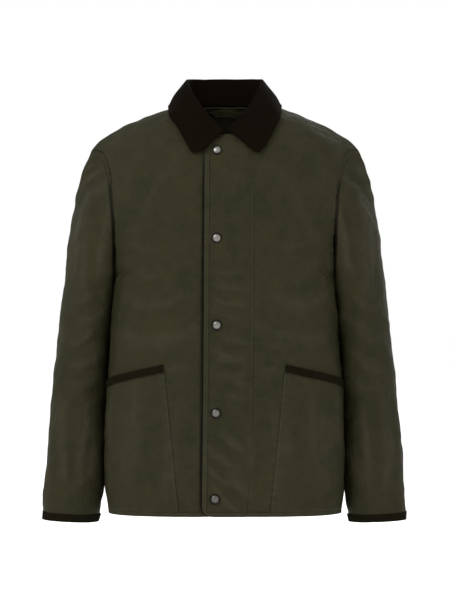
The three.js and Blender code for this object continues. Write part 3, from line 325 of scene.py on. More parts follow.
SEAMS: tuple[Seam, ...] = (
    Seam(BODY, FRONT, PLACKET_SEAM, groove=0.3, pucker=0.35, pitch=6.5, reach=5.0, seed=11),
    Seam(BODY, FRONT, PLACKET_EDGE, groove=0.2, pucker=0.4, seed=12),
    # Painted shadow under the placket's free edge, on the cloth it overhangs
    Seam(BODY, FRONT, PLACKET_GAP, groove=1.5, pucker=0.0, width=2.7, shade=1.0,
         only=("front_right", "hem_binding_right")),
    Seam(BODY, FRONT, POCKET_FRONT_LEFT, groove=0.3, pucker=0.95, pitch=13.0, reach=9.0, seed=13),
    Seam(BODY, FRONT, POCKET_FRONT_RIGHT, groove=0.3, pucker=0.95, pitch=12.0, reach=9.0, seed=14),
    # The armhole seams carry a light painted shade along them
    Seam(BODY, FRONT, ARMHOLE_LEFT, groove=0.4, pucker=0.6, pitch=14.0, seed=15, shade=0.35),
    Seam(BODY, FRONT, ARMHOLE_RIGHT, groove=0.4, pucker=0.6, pitch=13.0, seed=16, shade=0.35),
    Seam(LEFT_ARM, FRONT, ARMHOLE_LEFT, groove=0.4, pucker=0.6, pitch=14.0, seed=15, shade=0.35),
    Seam(RIGHT_ARM, FRONT, ARMHOLE_RIGHT, groove=0.4, pucker=0.6, pitch=13.0, seed=16, shade=0.35),
    # Painted shade where the sleeve meets the body
    Seam(BODY, FRONT, ARMPIT_LEFT, groove=1.2, pucker=0.0, width=3.0, shade=0.8),
    Seam(BODY, FRONT, ARMPIT_RIGHT, groove=1.2, pucker=0.0, width=3.0, shade=0.8),
    Seam(LEFT_ARM, FRONT, ARMPIT_LEFT, groove=0.9, pucker=0.0, width=2.6, shade=0.8),
    Seam(RIGHT_ARM, FRONT, ARMPIT_RIGHT, groove=0.9, pucker=0.0, width=2.6, shade=0.8),
    # On the back too, painted shade along the armholes and armpits
    Seam(BODY, BACK, ARMHOLE_LEFT, groove=0.4, pucker=0.6, pitch=14.0, seed=17, shade=0.35),
    Seam(BODY, BACK, ARMHOLE_RIGHT, groove=0.4, pucker=0.6, pitch=13.0, seed=18, shade=0.35),
    Seam(BODY, BACK, ARMPIT_LEFT, groove=1.0, pucker=0.0, width=2.6, shade=0.6),
    Seam(BODY, BACK, ARMPIT_RIGHT, groove=1.0, pucker=0.0, width=2.6, shade=0.6),
)


class Bench:
    """Adds and joins the shader nodes of one material."""

    def __init__(self, name: str) -> None:
        """Starts an empty material.

        Args:
            name: The material's name.
        """
        self.material = bpy.data.materials.new(name)
        self.material.use_nodes = True
        self.tree = self.material.node_tree
        self.tree.nodes.clear()
        self.shader = self.add("ShaderNodeBsdfPrincipled")
        output = self.add("ShaderNodeOutputMaterial")
        self.join(self.shader, "BSDF", output, "Surface")

    def add(self, kind: str, **values: object) -> bpy.types.Node:
        """Adds a node and sets its properties and sockets.

        Args:
            kind: The node's type.
            values: Properties by name, or sockets by name with underscores for spaces.

        Returns:
            The new node.
        """
        node = self.tree.nodes.new(kind)
        for key, value in values.items():
            if hasattr(node, key):
                setattr(node, key, value)
            else:
                node.inputs[key.replace("_", " ")].default_value = value
        return node

    def join(self, start: bpy.types.Node, output: str | int, end: bpy.types.Node, socket: str | int) -> None:
        """Links one node's output to another's socket."""
        self.tree.links.new(start.outputs[output], end.inputs[socket])

    def noise(self, coords: bpy.types.Node, output: str, scale: float, detail: float, rough: float = 0.55) -> bpy.types.Node:
        """Adds a noise texture on the given coordinates.

        Args:
            coords: The node that gives the coordinates.
            output: The name of its output.
            scale: Features to a metre, roughly.
            detail: How many finer layers it has.
            rough: How strong the finer layers are.

        Returns:
            The noise node.
        """
        node = self.add("ShaderNodeTexNoise", Scale=scale, Detail=detail, Roughness=rough)
        self.join(coords, output, node, "Vector")
        return node

    def ramp(self, source: bpy.types.Node, output: str, stops: tuple[tuple[float, tuple[float, float, float]], ...]) -> bpy.types.Node:
        """Adds a colour ramp.

        Args:
            source: The node that drives it.
            output: The name of its output.
            stops: Places and linear colours.

        Returns:
            The ramp node.
        """
        node = self.add("ShaderNodeValToRGB")
        self.join(source, output, node, "Fac")
        elements = node.color_ramp.elements
        while len(elements) < len(stops):
            elements.new(0.5)
        for element, (place, colour) in zip(elements, stops):
            element.position = place
            element.color = (*colour, 1.0)
        return node

    def blend(self, amount: tuple[bpy.types.Node, str], first: bpy.types.Node, second: bpy.types.Node) -> bpy.types.Node:
        """Mixes two colours by an amount.

        Args:
            amount: The node and output that say how much of the second.
            first: The node with the first colour.
            second: The node with the second colour.

        Returns:
            The mix node, whose result is output 2.
        """
        node = self.add("ShaderNodeMix", data_type="RGBA")
        self.join(amount[0], amount[1], node, "Factor")
        self.tree.links.new(first.outputs[0 if first.type != "MIX" else 2], node.inputs[6])
        self.tree.links.new(second.outputs[0 if second.type != "MIX" else 2], node.inputs[7])
        return node

    def maths(self, kind: str, first: tuple[bpy.types.Node, str | int], second: tuple[bpy.types.Node, str | int] | float) -> bpy.types.Node:
        """Adds a sum, product or other step of arithmetic.

        Args:
            kind: The operation.
            first: The first value's node and output.
            second: The second value's node and output, or a number.

        Returns:
            The maths node.
        """
        node = self.add("ShaderNodeMath", operation=kind)
        self.join(first[0], first[1], node, 0)
        if isinstance(second, float):
            node.inputs[1].default_value = second
        else:
            self.join(second[0], second[1], node, 1)
        return node

    def bump(self, height: tuple[bpy.types.Node, str | int], distance: float, strength: float, below: bpy.types.Node | None = None) -> bpy.types.Node:
        """Adds a bump on top of another.

        Args:
            height: The node and output with the height, from 0 to 1.
            distance: The height of 1, in metres.
            strength: How much of it shows.
            below: The bump beneath, if there is one.

        Returns:
            The bump node.
        """
        node = self.add("ShaderNodeBump", Distance=distance, Strength=strength)
        self.join(height[0], height[1], node, "Height")
        if below:
            self.join(below, "Normal", node, "Normal")
        return node

    def set(self, **values: object) -> None:
        """Sets sockets of the shader itself, by name with underscores for spaces."""
        for key, value in values.items():
            self.shader.inputs[key.replace("_", " ")].default_value = value


@dataclass(frozen=True)
class WaxedCotton:
    """Dark olive cotton, close woven, with wax that lies unevenly and pales on worn edges, and painted shade darkening
    it along some seams.
    """

    name: str = "waxed_cotton"
    green: tuple[float, float, float] = (0.0138, 0.0141, 0.0054)
    brown: tuple[float, float, float] = (0.0222, 0.0194, 0.0082)
    plain: tuple[float, float, float] = (0.0190, 0.0172, 0.0072)
    pale: tuple[float, float, float] = (0.040, 0.036, 0.023)
    shadow_tone: tuple[float, float, float] = (0.0008, 0.0007, 0.0004)
    thread_pitch: float = 0.0009

    def material(self) -> bpy.types.Material:
        """Builds the finish.

        Returns:
            The material.
        """
        bench = Bench(self.name)
        coords = bench.add("ShaderNodeTexCoord")
        broad = bench.noise(coords, "Object", 13.0, 5.0, 0.62)
        blotch = bench.noise(coords, "Object", 52.0, 6.0, 0.66)
        grain = bench.noise(coords, "Object", 900.0, 3.0, 0.7)
        slub = bench.noise(coords, "Object", 310.0, 4.0, 0.7)
        cloud = bench.ramp(broad, "Fac", ((0.36, self.green), (0.5, self.plain), (0.64, self.brown)))
        wax = bench.ramp(blotch, "Fac", ((0.34, self.green), (0.66, self.brown)))
        half = bench.add("ShaderNodeMix", data_type="RGBA", Factor=0.5)
        bench.join(cloud, 0, half, 6)
        bench.join(wax, 0, half, 7)
        speckle = bench.add("ShaderNodeMapRange", To_Min=0.7, To_Max=1.3)
        bench.join(slub, "Fac", speckle, "Value")
        tone = bench.add("ShaderNodeHueSaturation")
        bench.join(half, 2, tone, "Color")
        bench.join(speckle, 0, tone, "Value")
        worn = bench.add("ShaderNodeAttribute", attribute_name="wear")
        patch = bench.maths("MULTIPLY", (worn, "Fac"), (blotch, "Fac"))
        patch = bench.maths("MULTIPLY", (patch, 0), 1.7)
        patch.use_clamp = True
        edge = bench.add("ShaderNodeRGB")
        edge.outputs[0].default_value = (*self.pale, 1.0)
        rubbed = bench.blend((patch, 0), tone, edge)
        # Painted shade: the colour goes towards a near-black tone where the shade attribute says, under the placket's
        # edge and along the armholes
        shade = bench.add("ShaderNodeAttribute", attribute_name="shade")
        deep = bench.add("ShaderNodeRGB")
        deep.outputs[0].default_value = (*self.shadow_tone, 1.0)
        colour = bench.blend((shade, "Fac"), rubbed, deep)
        bench.join(colour, 2, bench.shader, "Base Color")
        rough = bench.add("ShaderNodeMapRange", To_Min=0.6, To_Max=0.8)
        bench.join(blotch, "Fac", rough, "Value")
        bench.join(rough, 0, bench.shader, "Roughness")
        weave = None
        for way in ("X", "Z", "Y"):
            band = bench.add("ShaderNodeTexWave", bands_direction=way, Scale=math.tau / 20.0 / self.thread_pitch)
            bench.join(coords, "Object", band, "Vector")
            weave = band if weave is None else bench.maths("ADD", (weave, 0), (band, "Fac"))
        crumple = bench.noise(coords, "Object", 120.0, 6.0, 0.6)
        under = bench.bump((crumple, "Fac"), 0.0022, 0.8)
        slubs = bench.bump((slub, "Fac"), 0.0005, 0.6, under)
        middle = bench.bump((weave, 0), 0.00006, 0.5, slubs)
        top = bench.bump((grain, "Fac"), 0.00018, 0.6, middle)
        bench.join(top, "Normal", bench.shader, "Normal")
        bench.set(Specular_IOR_Level=0.08)
        return bench.material


@dataclass(frozen=True)
class Corduroy:
    """Very dark brown needlecord with fine upright wales; the trim is a shade nearer to olive."""

    name: str = "corduroy"
    groove: tuple[float, float, float] = (0.0016, 0.0010, 0.0005)
    wale: tuple[float, float, float] = (0.0066, 0.0040, 0.0020)
    pitch: float = 0.0019

    def material(self) -> bpy.types.Material:
        """Builds the finish, with its wales on the piece's own UV map.

        Returns:
            The material.
        """
        bench = Bench(self.name)
        flat = bench.add("ShaderNodeUVMap", uv_map="cloth")
        wales = bench.add("ShaderNodeTexWave", bands_direction="X", Scale=math.tau / 20.0 / self.pitch, Distortion=0.6)
        wales.inputs["Detail Scale"].default_value = 0.4
        bench.join(flat, 0, wales, "Vector")
        coords = bench.add("ShaderNodeTexCoord")
        nap = bench.noise(coords, "Object", 700.0, 3.0, 0.7)
        rubbed = bench.noise(coords, "Object", 40.0, 4.0, 0.6)
        cord = bench.ramp(wales, "Fac", ((0.2, self.groove), (0.75, self.wale)))
        tone = bench.add("ShaderNodeHueSaturation")
        bench.join(cord, 0, tone, "Color")
        value = bench.add("ShaderNodeMapRange", To_Min=0.7, To_Max=1.35)
        bench.join(rubbed, "Fac", value, "Value")
        bench.join(value, 0, tone, "Value")
        bench.join(tone, 0, bench.shader, "Base Color")
        under = bench.bump((wales, "Fac"), 0.0006, 0.8)
        top = bench.bump((nap, "Fac"), 0.0003, 0.6, under)
        bench.join(top, "Normal", bench.shader, "Normal")
        bench.set(Roughness=0.95, Specular_IOR_Level=0.02)
        return bench.material


@dataclass(frozen=True)
class Lining:
    """Dark brown cotton with a fine slanting twill."""

    name: str = "lining"
    dark: tuple[float, float, float] = (0.0100, 0.0086, 0.0046)
    light: tuple[float, float, float] = (0.0180, 0.0145, 0.0082)
    pitch: float = 0.0014

    def material(self) -> bpy.types.Material:
        """Builds the finish.

        Returns:
            The material.
        """
        bench = Bench(self.name)
        coords = bench.add("ShaderNodeTexCoord")
        turn = bench.add("ShaderNodeMapping")
        turn.inputs["Rotation"].default_value = (0.0, math.radians(38.0), 0.0)
        bench.join(coords, "Object", turn, "Vector")
        twill = bench.add("ShaderNodeTexWave", bands_direction="X", Scale=math.tau / 20.0 / self.pitch)
        bench.join(turn, 0, twill, "Vector")
        soft = bench.noise(coords, "Object", 22.0, 4.0, 0.6)
        tone = bench.ramp(soft, "Fac", ((0.3, self.dark), (0.7, self.light)))
        bench.join(tone, 0, bench.shader, "Base Color")
        under = bench.bump((soft, "Fac"), 0.003, 0.5)
        top = bench.bump((twill, "Fac"), 0.00015, 0.6, under)
        bench.join(top, "Normal", bench.shader, "Normal")
        bench.set(Roughness=0.82, Specular_IOR_Level=0.05)
        return bench.material


@dataclass(frozen=True)
class Thread:
    """Olive sewing thread, a little paler than the cloth."""

    name: str = "thread"
    dark: tuple[float, float, float] = (0.016, 0.0145, 0.006)
    light: tuple[float, float, float] = (0.085, 0.077, 0.052)

    def material(self) -> bpy.types.Material:
        """Builds the finish.

        Returns:
            The material.
        """
        bench = Bench(self.name)
        coords = bench.add("ShaderNodeTexCoord")
        run = bench.noise(coords, "Object", 85.0, 3.0, 0.6)
        tone = bench.ramp(run, "Fac", ((0.46, self.dark), (0.72, self.light)))
        bench.join(tone, 0, bench.shader, "Base Color")
        twist = bench.noise(coords, "Object", 1500.0, 2.0, 0.6)
        bump = bench.bump((twist, "Fac"), 0.0002, 0.7)
        bench.join(bump, "Normal", bench.shader, "Normal")
        bench.set(Roughness=0.6, Specular_IOR_Level=0.3)
        return bench.material


@dataclass(frozen=True)
class SnapMetal:
    """Pale nickel, satin on the dome, with painted dark reflection and shade at the dome's edge and on the rim round
    it.
    """

    name: str = "snap_metal"
    bright: tuple[float, float, float] = (0.23, 0.22, 0.20)
    dark_reflection: tuple[float, float, float] = (0.016, 0.014, 0.012)

    def material(self) -> bpy.types.Material:
        """Builds the finish, painted dark where the piece's own attribute of painted reflection and shade says.

        Returns:
            The material.
        """
        bench = Bench(self.name)
        coords = bench.add("ShaderNodeTexCoord")
        scuff = bench.noise(coords, "Object", 420.0, 5.0, 0.65)
        # Painted reflection and shade: the dome's edge and the rim are painted near black, as the dark cloth round
        # them would show
        reflection_shade = bench.add("ShaderNodeAttribute", attribute_name="reflection_shade")
        clean = bench.ramp(scuff, "Fac", ((0.3, tuple(v * 0.86 for v in self.bright)), (0.65, self.bright)))
        reflected_dark = bench.add("ShaderNodeRGB")
        reflected_dark.outputs[0].default_value = (*self.dark_reflection, 1.0)
        tone = bench.blend((reflection_shade, "Fac"), clean, reflected_dark)
        bench.join(tone, 2, bench.shader, "Base Color")
        rough = bench.add("ShaderNodeMapRange", To_Min=0.24, To_Max=0.42)
        bench.join(scuff, "Fac", rough, "Value")
        bench.join(rough, 0, bench.shader, "Roughness")
        bump = bench.bump((scuff, "Fac"), 0.00005, 0.35)
        bench.join(bump, "Normal", bench.shader, "Normal")
        bench.set(Metallic=1.0)
        return bench.material


@dataclass(frozen=True)
class StudioPaper:
    """Plain pale paper for the floor."""

    name: str = "studio_paper"
    tone: tuple[float, float, float] = (0.86, 0.86, 0.86)

    def material(self) -> bpy.types.Material:
        """Builds the finish.

        Returns:
            The material.
        """
        bench = Bench(self.name)
        coords = bench.add("ShaderNodeTexCoord")
        fibre = bench.noise(coords, "Object", 300.0, 2.0)
        tone = bench.ramp(fibre, "Fac", ((0.3, tuple(v * 0.985 for v in self.tone)), (0.7, self.tone)))
        bench.join(tone, 0, bench.shader, "Base Color")
        bench.set(Roughness=0.9, Specular_IOR_Level=0.1)
        bench.set(Emission_Color=(1.0, 1.0, 1.0, 1.0), Emission_Strength=0.3)
        return bench.material


TRIM_CORD = Corduroy("corduroy_trim", groove=(0.0024, 0.0020, 0.0008), wale=(0.0092, 0.0078, 0.0036))
FINISHES = (WaxedCotton(), Corduroy(), TRIM_CORD, Lining(), Thread(), SnapMetal())


def show(name: str, mesh: bpy.types.Mesh, materials: list[bpy.types.Material], slot: str | None = None) -> bpy.types.Object:
    """Puts a finished mesh in the scene at the origin.

    Args:
        name: The piece's name.
        mesh: Its mesh, already in place.
        materials: Its materials, in the order of the mesh's indices.
        slot: The slot of its finish; a piece that has one is hung on the root body, and None is for the studio.

    Returns:
        The new object.
    """
    piece = bpy.data.objects.new(name, mesh)
    bpy.context.scene.collection.objects.link(piece)
    piece.data.materials.clear()
    for material in materials:
        piece.data.materials.append(material)
    if slot:
        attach(piece, "root")
    return piece


def read_points(mesh: bpy.types.Mesh) -> np.ndarray:
    """Gives a mesh's vertices as rows of x, y and z, in millimetres."""
    flat = np.empty(len(mesh.vertices) * 3)
    mesh.vertices.foreach_get("co", flat)
    return flat.reshape(-1, 3) / MM


def write_points(mesh: bpy.types.Mesh, points: np.ndarray) -> None:
    """Puts rows of x, y and z, in millimetres, back on a mesh's vertices."""
    mesh.vertices.foreach_set("co", (points * MM).ravel())
    mesh.update()


@dataclass
class ClothPiece:
    """One cut piece of cloth: its solid, refined, pressed into folds and worn along its edges."""

    node: str
    zone: Zone
    slot: str
    flat: tuple[float, float]
    area: float | None = None
    lined: bool = False
    lift: float = 0.0
    level: int = 3
    held: str = "stretched"
    uneven: float = 1.0
    folded: float = 1.0
    rests_on: tuple[str, ...] = ()
    sharp: float = 52.0
    turn: float = 36.0
    follow: float = 0.85
    worn: float = 0.0
    hug: float = 0.0
    meets_seam: bool = False
    piece: bpy.types.Object | None = None
    outer: np.ndarray = field(default_factory=lambda: np.empty((0, 3)))

    def solid(self) -> bmesh.types.BMesh:
        """Copies the frame's solid with its triangles merged into four-sided faces.

        Returns:
            The merged copy, with a crease on each edge of the cloth.
        """
        bm = bmesh.new()
        bm.from_mesh(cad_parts[self.node].data)
        bmesh.ops.remove_doubles(bm, verts=bm.verts[:], dist=0.01 * MM)
        bmesh.ops.join_triangles(
            bm,
            faces=bm.faces[:],
            angle_face_threshold=math.radians(46.0),
            angle_shape_threshold=math.radians(120.0),
        )
        crease = bm.edges.layers.float.get("crease_edge") or bm.edges.layers.float.new("crease_edge")
        corner = bm.verts.layers.float.get("crease_vert") or bm.verts.layers.float.new("crease_vert")
        for edge in bm.edges:
            if edge.calc_face_angle(0.0) > math.radians(self.sharp):
                edge[crease] = 1.0
        for vert in bm.verts:
            ways = [edge.other_vert(vert).co - vert.co for edge in vert.link_edges if edge[crease]]
            if len(ways) == 2 and ways[0].angle(-ways[1]) > math.radians(self.turn):
                vert[corner] = 1.0
        return bm

    def mark_sides(self, bm: bmesh.types.BMesh) -> None:
        """Numbers the faces: 0 for the outer side, 1 for the inner side and 2 for the cut edge.

        Args:
            bm: The merged copy of the solid.
        """
        limit = math.radians(self.sharp)
        waiting = set(bm.faces)
        regions = []
        while waiting:
            start = waiting.pop()
            region, queue = [start], [start]
            while queue:
                for edge in queue.pop().edges:
                    if edge.calc_face_angle(0.0) > limit:
                        continue
                    for near in edge.link_faces:
                        if near in waiting:
                            waiting.remove(near)
                            region.append(near)
                            queue.append(near)
            regions.append(region)
        regions.sort(key=lambda faces: -sum(face.calc_area() for face in faces))
        for number, region in enumerate(regions):
            for face in region:
                face.material_index = min(number, 2)
                face.smooth = True

    def refine(self, bm: bmesh.types.BMesh) -> bpy.types.Mesh:
        """Rounds the faceted copy with a subdivision surface that keeps to the solid's points.

        Args:
            bm: The merged copy of the solid, which is freed.

        Returns:
            The fine mesh.
        """
        rough = bpy.data.meshes.new("rough")
        bm.to_mesh(rough)
        bm.free()
        helper = bpy.data.objects.new("helper", rough)
        bpy.context.scene.collection.objects.link(helper)
        rounding = helper.modifiers.new("round", "SUBSURF")
        rounding.levels = rounding.render_levels = self.level
        graph = bpy.context.evaluated_depsgraph_get()
        target = read_points(rough)
        for _ in range(2):
            rounded = read_points(bpy.data.meshes.new_from_object(helper.evaluated_get(graph)))
            shrunk = target - rounded[:len(target)]
            write_points(rough, read_points(rough) + shrunk * self.follow)
            graph.update()
        fine = bpy.data.meshes.new_from_object(helper.evaluated_get(graph))
        bpy.data.objects.remove(helper)
        return fine

    def directions(self, mesh: bpy.types.Mesh, points: np.ndarray, sides: np.ndarray) -> np.ndarray:
        """Finds the outward way at each vertex, the same for both sides of the cloth.

        Args:
            mesh: The fine mesh.
            points: Its vertices, in millimetres.
            sides: The number of each face's side.

        Returns:
            A unit vector for each vertex.
        """
        count = len(mesh.polygons)
        centres = np.empty(count * 3)
        normals = np.empty(count * 3)
        mesh.polygons.foreach_get("center", centres)
        mesh.polygons.foreach_get("normal", normals)
        centres, normals = centres.reshape(-1, 3), normals.reshape(-1, 3)
        chosen = np.flatnonzero(sides == 0)
        tree = KDTree(len(chosen))
        for place, number in enumerate(chosen):
            tree.insert(centres[number], place)
        tree.balance()
        picked = [tree.find(point)[1] for point in points * MM]
        way = normals[chosen][picked]
        edges = np.empty(len(mesh.edges) * 2, dtype=np.int64)
        mesh.edges.foreach_get("vertices", edges)
        first, second = edges.reshape(-1, 2).T
        for _ in range(6):
            total = way.copy()
            np.add.at(total, first, way[second])
            np.add.at(total, second, way[first])
            way = total / np.linalg.norm(total, axis=1, keepdims=True)
        return way

    def press(self, mesh: bpy.types.Mesh) -> None:
        """Presses the folds, seams and waves into the fine mesh and notes where it is worn and where seams paint shade
        on it.

        Args:
            mesh: The fine mesh.
        """
        points = read_points(mesh)
        sides = np.empty(len(mesh.polygons), dtype=np.int32)
        mesh.polygons.foreach_get("material_index", sides)
        way = self.directions(mesh, points, sides)
        height = np.full(len(points), self.lift)
        crest = np.zeros(len(points))
        shade = np.zeros(len(points))
        for mark in (*FOLDS, *SEAMS):
            if mark.zone is not self.zone or isinstance(mark, Seam) and mark.only and self.node not in mark.only:
                continue
            facing = smooth_step(0.12, 0.5, way[:, 1] * mark.face.value)
            close = facing > 0.0
            if not close.any():
                continue
            relief = np.zeros(len(points))
            relief[close] = mark.relief(points[close, 0], points[close, 2])
            relief *= facing * self.folded
            height += relief
            crest = np.maximum(crest, relief)
            # Painted shade: seams that have it darken the cloth's colour along their line
            if isinstance(mark, Seam) and mark.shade:
                dark = np.zeros(len(points))
                dark[close] = mark.painted_shade(points[close, 0], points[close, 2])
                shade = np.maximum(shade, dark * facing)
        height += (BROAD_WAVES.relief(points) + FINE_RUMPLE.relief(points)) * self.uneven
        if self.hug:
            inward = way[:, 0] * (-1.0 if self.zone is Zone.LEFT_ARM else 1.0)
            level = smooth_step(-305.0, -345.0, points[:, 2]) * smooth_step(-655.0, -615.0, points[:, 2])
            height += self.hug * smooth_step(0.5, 0.95, inward) * level
        if self.meets_seam:
            seam = np.array(PLACKET_SEAM)[::-1]
            beside = np.interp(points[:, 2], seam[:, 1], seam[:, 0]) - points[:, 0]
            points[:, 0] += 0.5 * np.exp(-((beside / 3.0) ** 2))
        write_points(mesh, points + way * height[:, None])
        edge = self.edge_nearness(mesh, points, sides)
        wear = np.clip(self.worn * edge + 0.3 * np.clip(crest / 0.7, 0.0, 1.0), 0.0, 1.0)
        mesh.attributes.new("wear", "FLOAT", "POINT").data.foreach_set("value", wear)
        # The painted shade is kept as an attribute for the cloth's colour
        mesh.attributes.new("shade", "FLOAT", "POINT").data.foreach_set("value", shade)
        inner = 1 if self.lined else 0
        mesh.polygons.foreach_set("material_index", np.where(sides == 1, inner, 0).astype(np.int32))

    def edge_nearness(self, mesh: bpy.types.Mesh, points: np.ndarray, sides: np.ndarray) -> np.ndarray:
        """Says how near each vertex is to the cut edge of the cloth.

        Args:
            mesh: The fine mesh.
            points: Its vertices, in millimetres.
            sides: The number of each face's side.

        Returns:
            1 at the edge, falling to 0 within some millimetres.
        """
        corners = np.empty(len(mesh.loops), dtype=np.int64)
        mesh.loops.foreach_get("vertex_index", corners)
        totals = np.empty(len(mesh.polygons), dtype=np.int64)
        mesh.polygons.foreach_get("loop_total", totals)
        on_rim = np.unique(corners[np.repeat(sides == 2, totals)])
        if not len(on_rim):
            return np.zeros(len(points))
        tree = KDTree(len(on_rim))
        for number in on_rim:
            tree.insert(points[number], int(number))
        tree.balance()
        away = np.array([tree.find(point)[2] for point in points])
        return np.exp(-((away / 2.6) ** 2))

    def lay_flat(self, mesh: bpy.types.Mesh) -> None:
        """Gives the mesh a UV map in metres: round the piece's own axis, and up.

        Args:
            mesh: The finished mesh.
        """
        points = read_points(mesh) * MM
        middle = (points.min(0) + points.max(0)) / 2
        radius = 0.5 * float(np.ptp(points[:, 0]))
        if self.zone is Zone.BODY:
            around = points[:, 0]
        else:
            around = np.arctan2(points[:, 0] - middle[0], -(points[:, 1] - middle[1])) * radius
        corners = np.empty(len(mesh.loops), dtype=np.int64)
        mesh.loops.foreach_get("vertex_index", corners)
        flat = np.stack([around, points[:, 2]], axis=1)[corners]
        totals = np.empty(len(mesh.polygons), dtype=np.int64)
        mesh.polygons.foreach_get("loop_total", totals)
        if self.zone is not Zone.BODY:
            starts = np.concatenate([[0], np.cumsum(totals)[:-1]])
            lead = np.repeat(flat[starts, 0], totals)
            turn = math.tau * radius
            flat[:, 0] += np.round((lead - flat[:, 0]) / turn) * turn
        mesh.uv_layers.new(name="cloth").data.foreach_set("uv", flat.ravel())

    def make(self, finishes: dict[str, bpy.types.Material]) -> bpy.types.Object:
        """Args:
            finishes: The materials by slot name.

        Returns:
            The new object.
        """
        bm = self.solid()
        self.mark_sides(bm)
        mesh = self.refine(bm)
        self.press(mesh)
        if self.slot == "corduroy":
            self.lay_flat(mesh)
        materials = [finishes["corduroy_trim" if "binding" in self.node and self.slot == "corduroy" else self.slot]]
        if self.lined:
            materials.append(finishes["lining"])
        self.piece = show(f"{self.node}_cloth", mesh, materials, self.slot)
        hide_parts(self.node)
        LOG.info("%s: %d faces", self.piece.name, len(mesh.polygons))
        return self.piece


@dataclass
class Jacket:
    """All the cloth of the jacket, in the order it is sewn."""

    pieces: tuple[ClothPiece, ...] = (
        ClothPiece("back", BODY, "waxed_cotton", (0.56, 0.76), 0.345, lined=True),
        ClothPiece("front_left", BODY, "waxed_cotton", (0.25, 0.72), 0.142, lined=True),
        ClothPiece("front_right", BODY, "waxed_cotton", (0.32, 0.72), 0.187, lined=True),
        ClothPiece("sleeve_left", LEFT_ARM, "waxed_cotton", (0.5, 0.66), 0.196, lined=True, hug=0.4),
        ClothPiece("sleeve_right", RIGHT_ARM, "waxed_cotton", (0.5, 0.66), 0.196, lined=True, hug=0.4),
        ClothPiece("placket", BODY, "waxed_cotton", (0.09, 0.65), 0.053, rests_on=("front_right",), lift=0.2, worn=0.2, meets_seam=True),
        ClothPiece("placket_binding", BODY, "waxed_cotton", (0.014, 0.69), 0.00483, rests_on=("placket",), lift=0.35, worn=0.3),
        ClothPiece("hem_binding_back", BODY, "waxed_cotton", (0.56, 0.014), 0.0039, rests_on=("back",), lift=0.3, worn=0.3),
        ClothPiece("hem_binding_left", BODY, "waxed_cotton", (0.26, 0.014), 0.0018, rests_on=("front_left",), lift=0.3, worn=0.3),
        ClothPiece("hem_binding_right", BODY, "waxed_cotton", (0.24, 0.014), 0.0017, rests_on=("front_right",), lift=0.3, worn=0.3),
        ClothPiece("pocket_left", BODY, "waxed_cotton", (0.17, 0.25), 0.039, rests_on=("front_left",), lift=0.3, worn=0.4),
        ClothPiece("pocket_right", BODY, "waxed_cotton", (0.17, 0.25), 0.039, rests_on=("front_right",), lift=0.3, worn=0.4),
        ClothPiece("pocket_binding_left", BODY, "corduroy", (0.15, 0.0135), rests_on=("pocket_left",), lift=0.5),
        ClothPiece("pocket_binding_right", BODY, "corduroy", (0.15, 0.0135), rests_on=("pocket_right",), lift=0.5),
        ClothPiece("cuff_binding_left", LEFT_ARM, "corduroy", (0.3, 0.0145), rests_on=("sleeve_left",), lift=0.3),
        ClothPiece("cuff_binding_right", RIGHT_ARM, "corduroy", (0.3, 0.0145), rests_on=("sleeve_right",), lift=0.3),
        ClothPiece("collar", Zone.COLLAR, "corduroy", (0.5, 0.12), 0.049, uneven=0.3, held="folded"),
        ClothPiece("back_lining", BODY, "lining", (0.17, 0.12), 0.018, rests_on=("back",), folded=1.0),
        ClothPiece("back_neck_facing", BODY, "waxed_cotton", (0.055, 0.013), 0.0007, rests_on=("back_lining",), lift=-0.3),
    )

    def build(self, finishes: dict[str, bpy.types.Material]) -> dict[str, bpy.types.Object]:
        """Makes every piece of cloth.

        Args:
            finishes: The materials by slot name.

        Returns:
            The pieces by the name of the node each stands for.
        """
        return {part.node: part.make(finishes) for part in self.pieces}


@dataclass(frozen=True)
class StitchRow:
    """A row of machine stitches along a line: x and z, x and y from above, or degrees and z round."""

    target: str
    aim: Aim
    line: Line
    middle: tuple[float, float] = (0.0, 0.0)
    pitch: float = 3.5

    def rays(self) -> list[tuple[Vector, Vector]]:
        """Lists where each stitch is looked for and which way.

        Returns:
            A start point in metres and a unit vector for each stitch.
        """
        line = np.array(self.line)
        scale = np.array([1.0, 1.0])
        if self.aim is Aim.ROUND:
            scale = np.array([math.radians(1.0) * 46.0, 1.0])
        runs = np.concatenate([[0.0], np.cumsum(np.hypot(*(np.diff(line, axis=0) * scale).T))])
        places = np.arange(0.0, runs[-1], self.pitch)
        rays = []
        for u, v in zip(np.interp(places, runs, line[:, 0]), np.interp(places, runs, line[:, 1])):
            if self.aim is Aim.ABOVE:
                rays.append((Vector((u * MM, v * MM, 0.4)), Vector((0.0, 0.0, -1.0))))
            elif self.aim is Aim.ROUND:
                turn = math.radians(u)
                away = Vector((math.cos(turn), math.sin(turn), 0.0))
                hub = Vector((self.middle[0] * MM, self.middle[1] * MM, v * MM))
                rays.append((hub + away * 0.15, -away))
            else:
                side = -1.0 if self.aim is Aim.FRONT else 1.0
                rays.append((Vector((u * MM, side * 0.4, v * MM)), Vector((0.0, -side, 0.0))))
        return rays


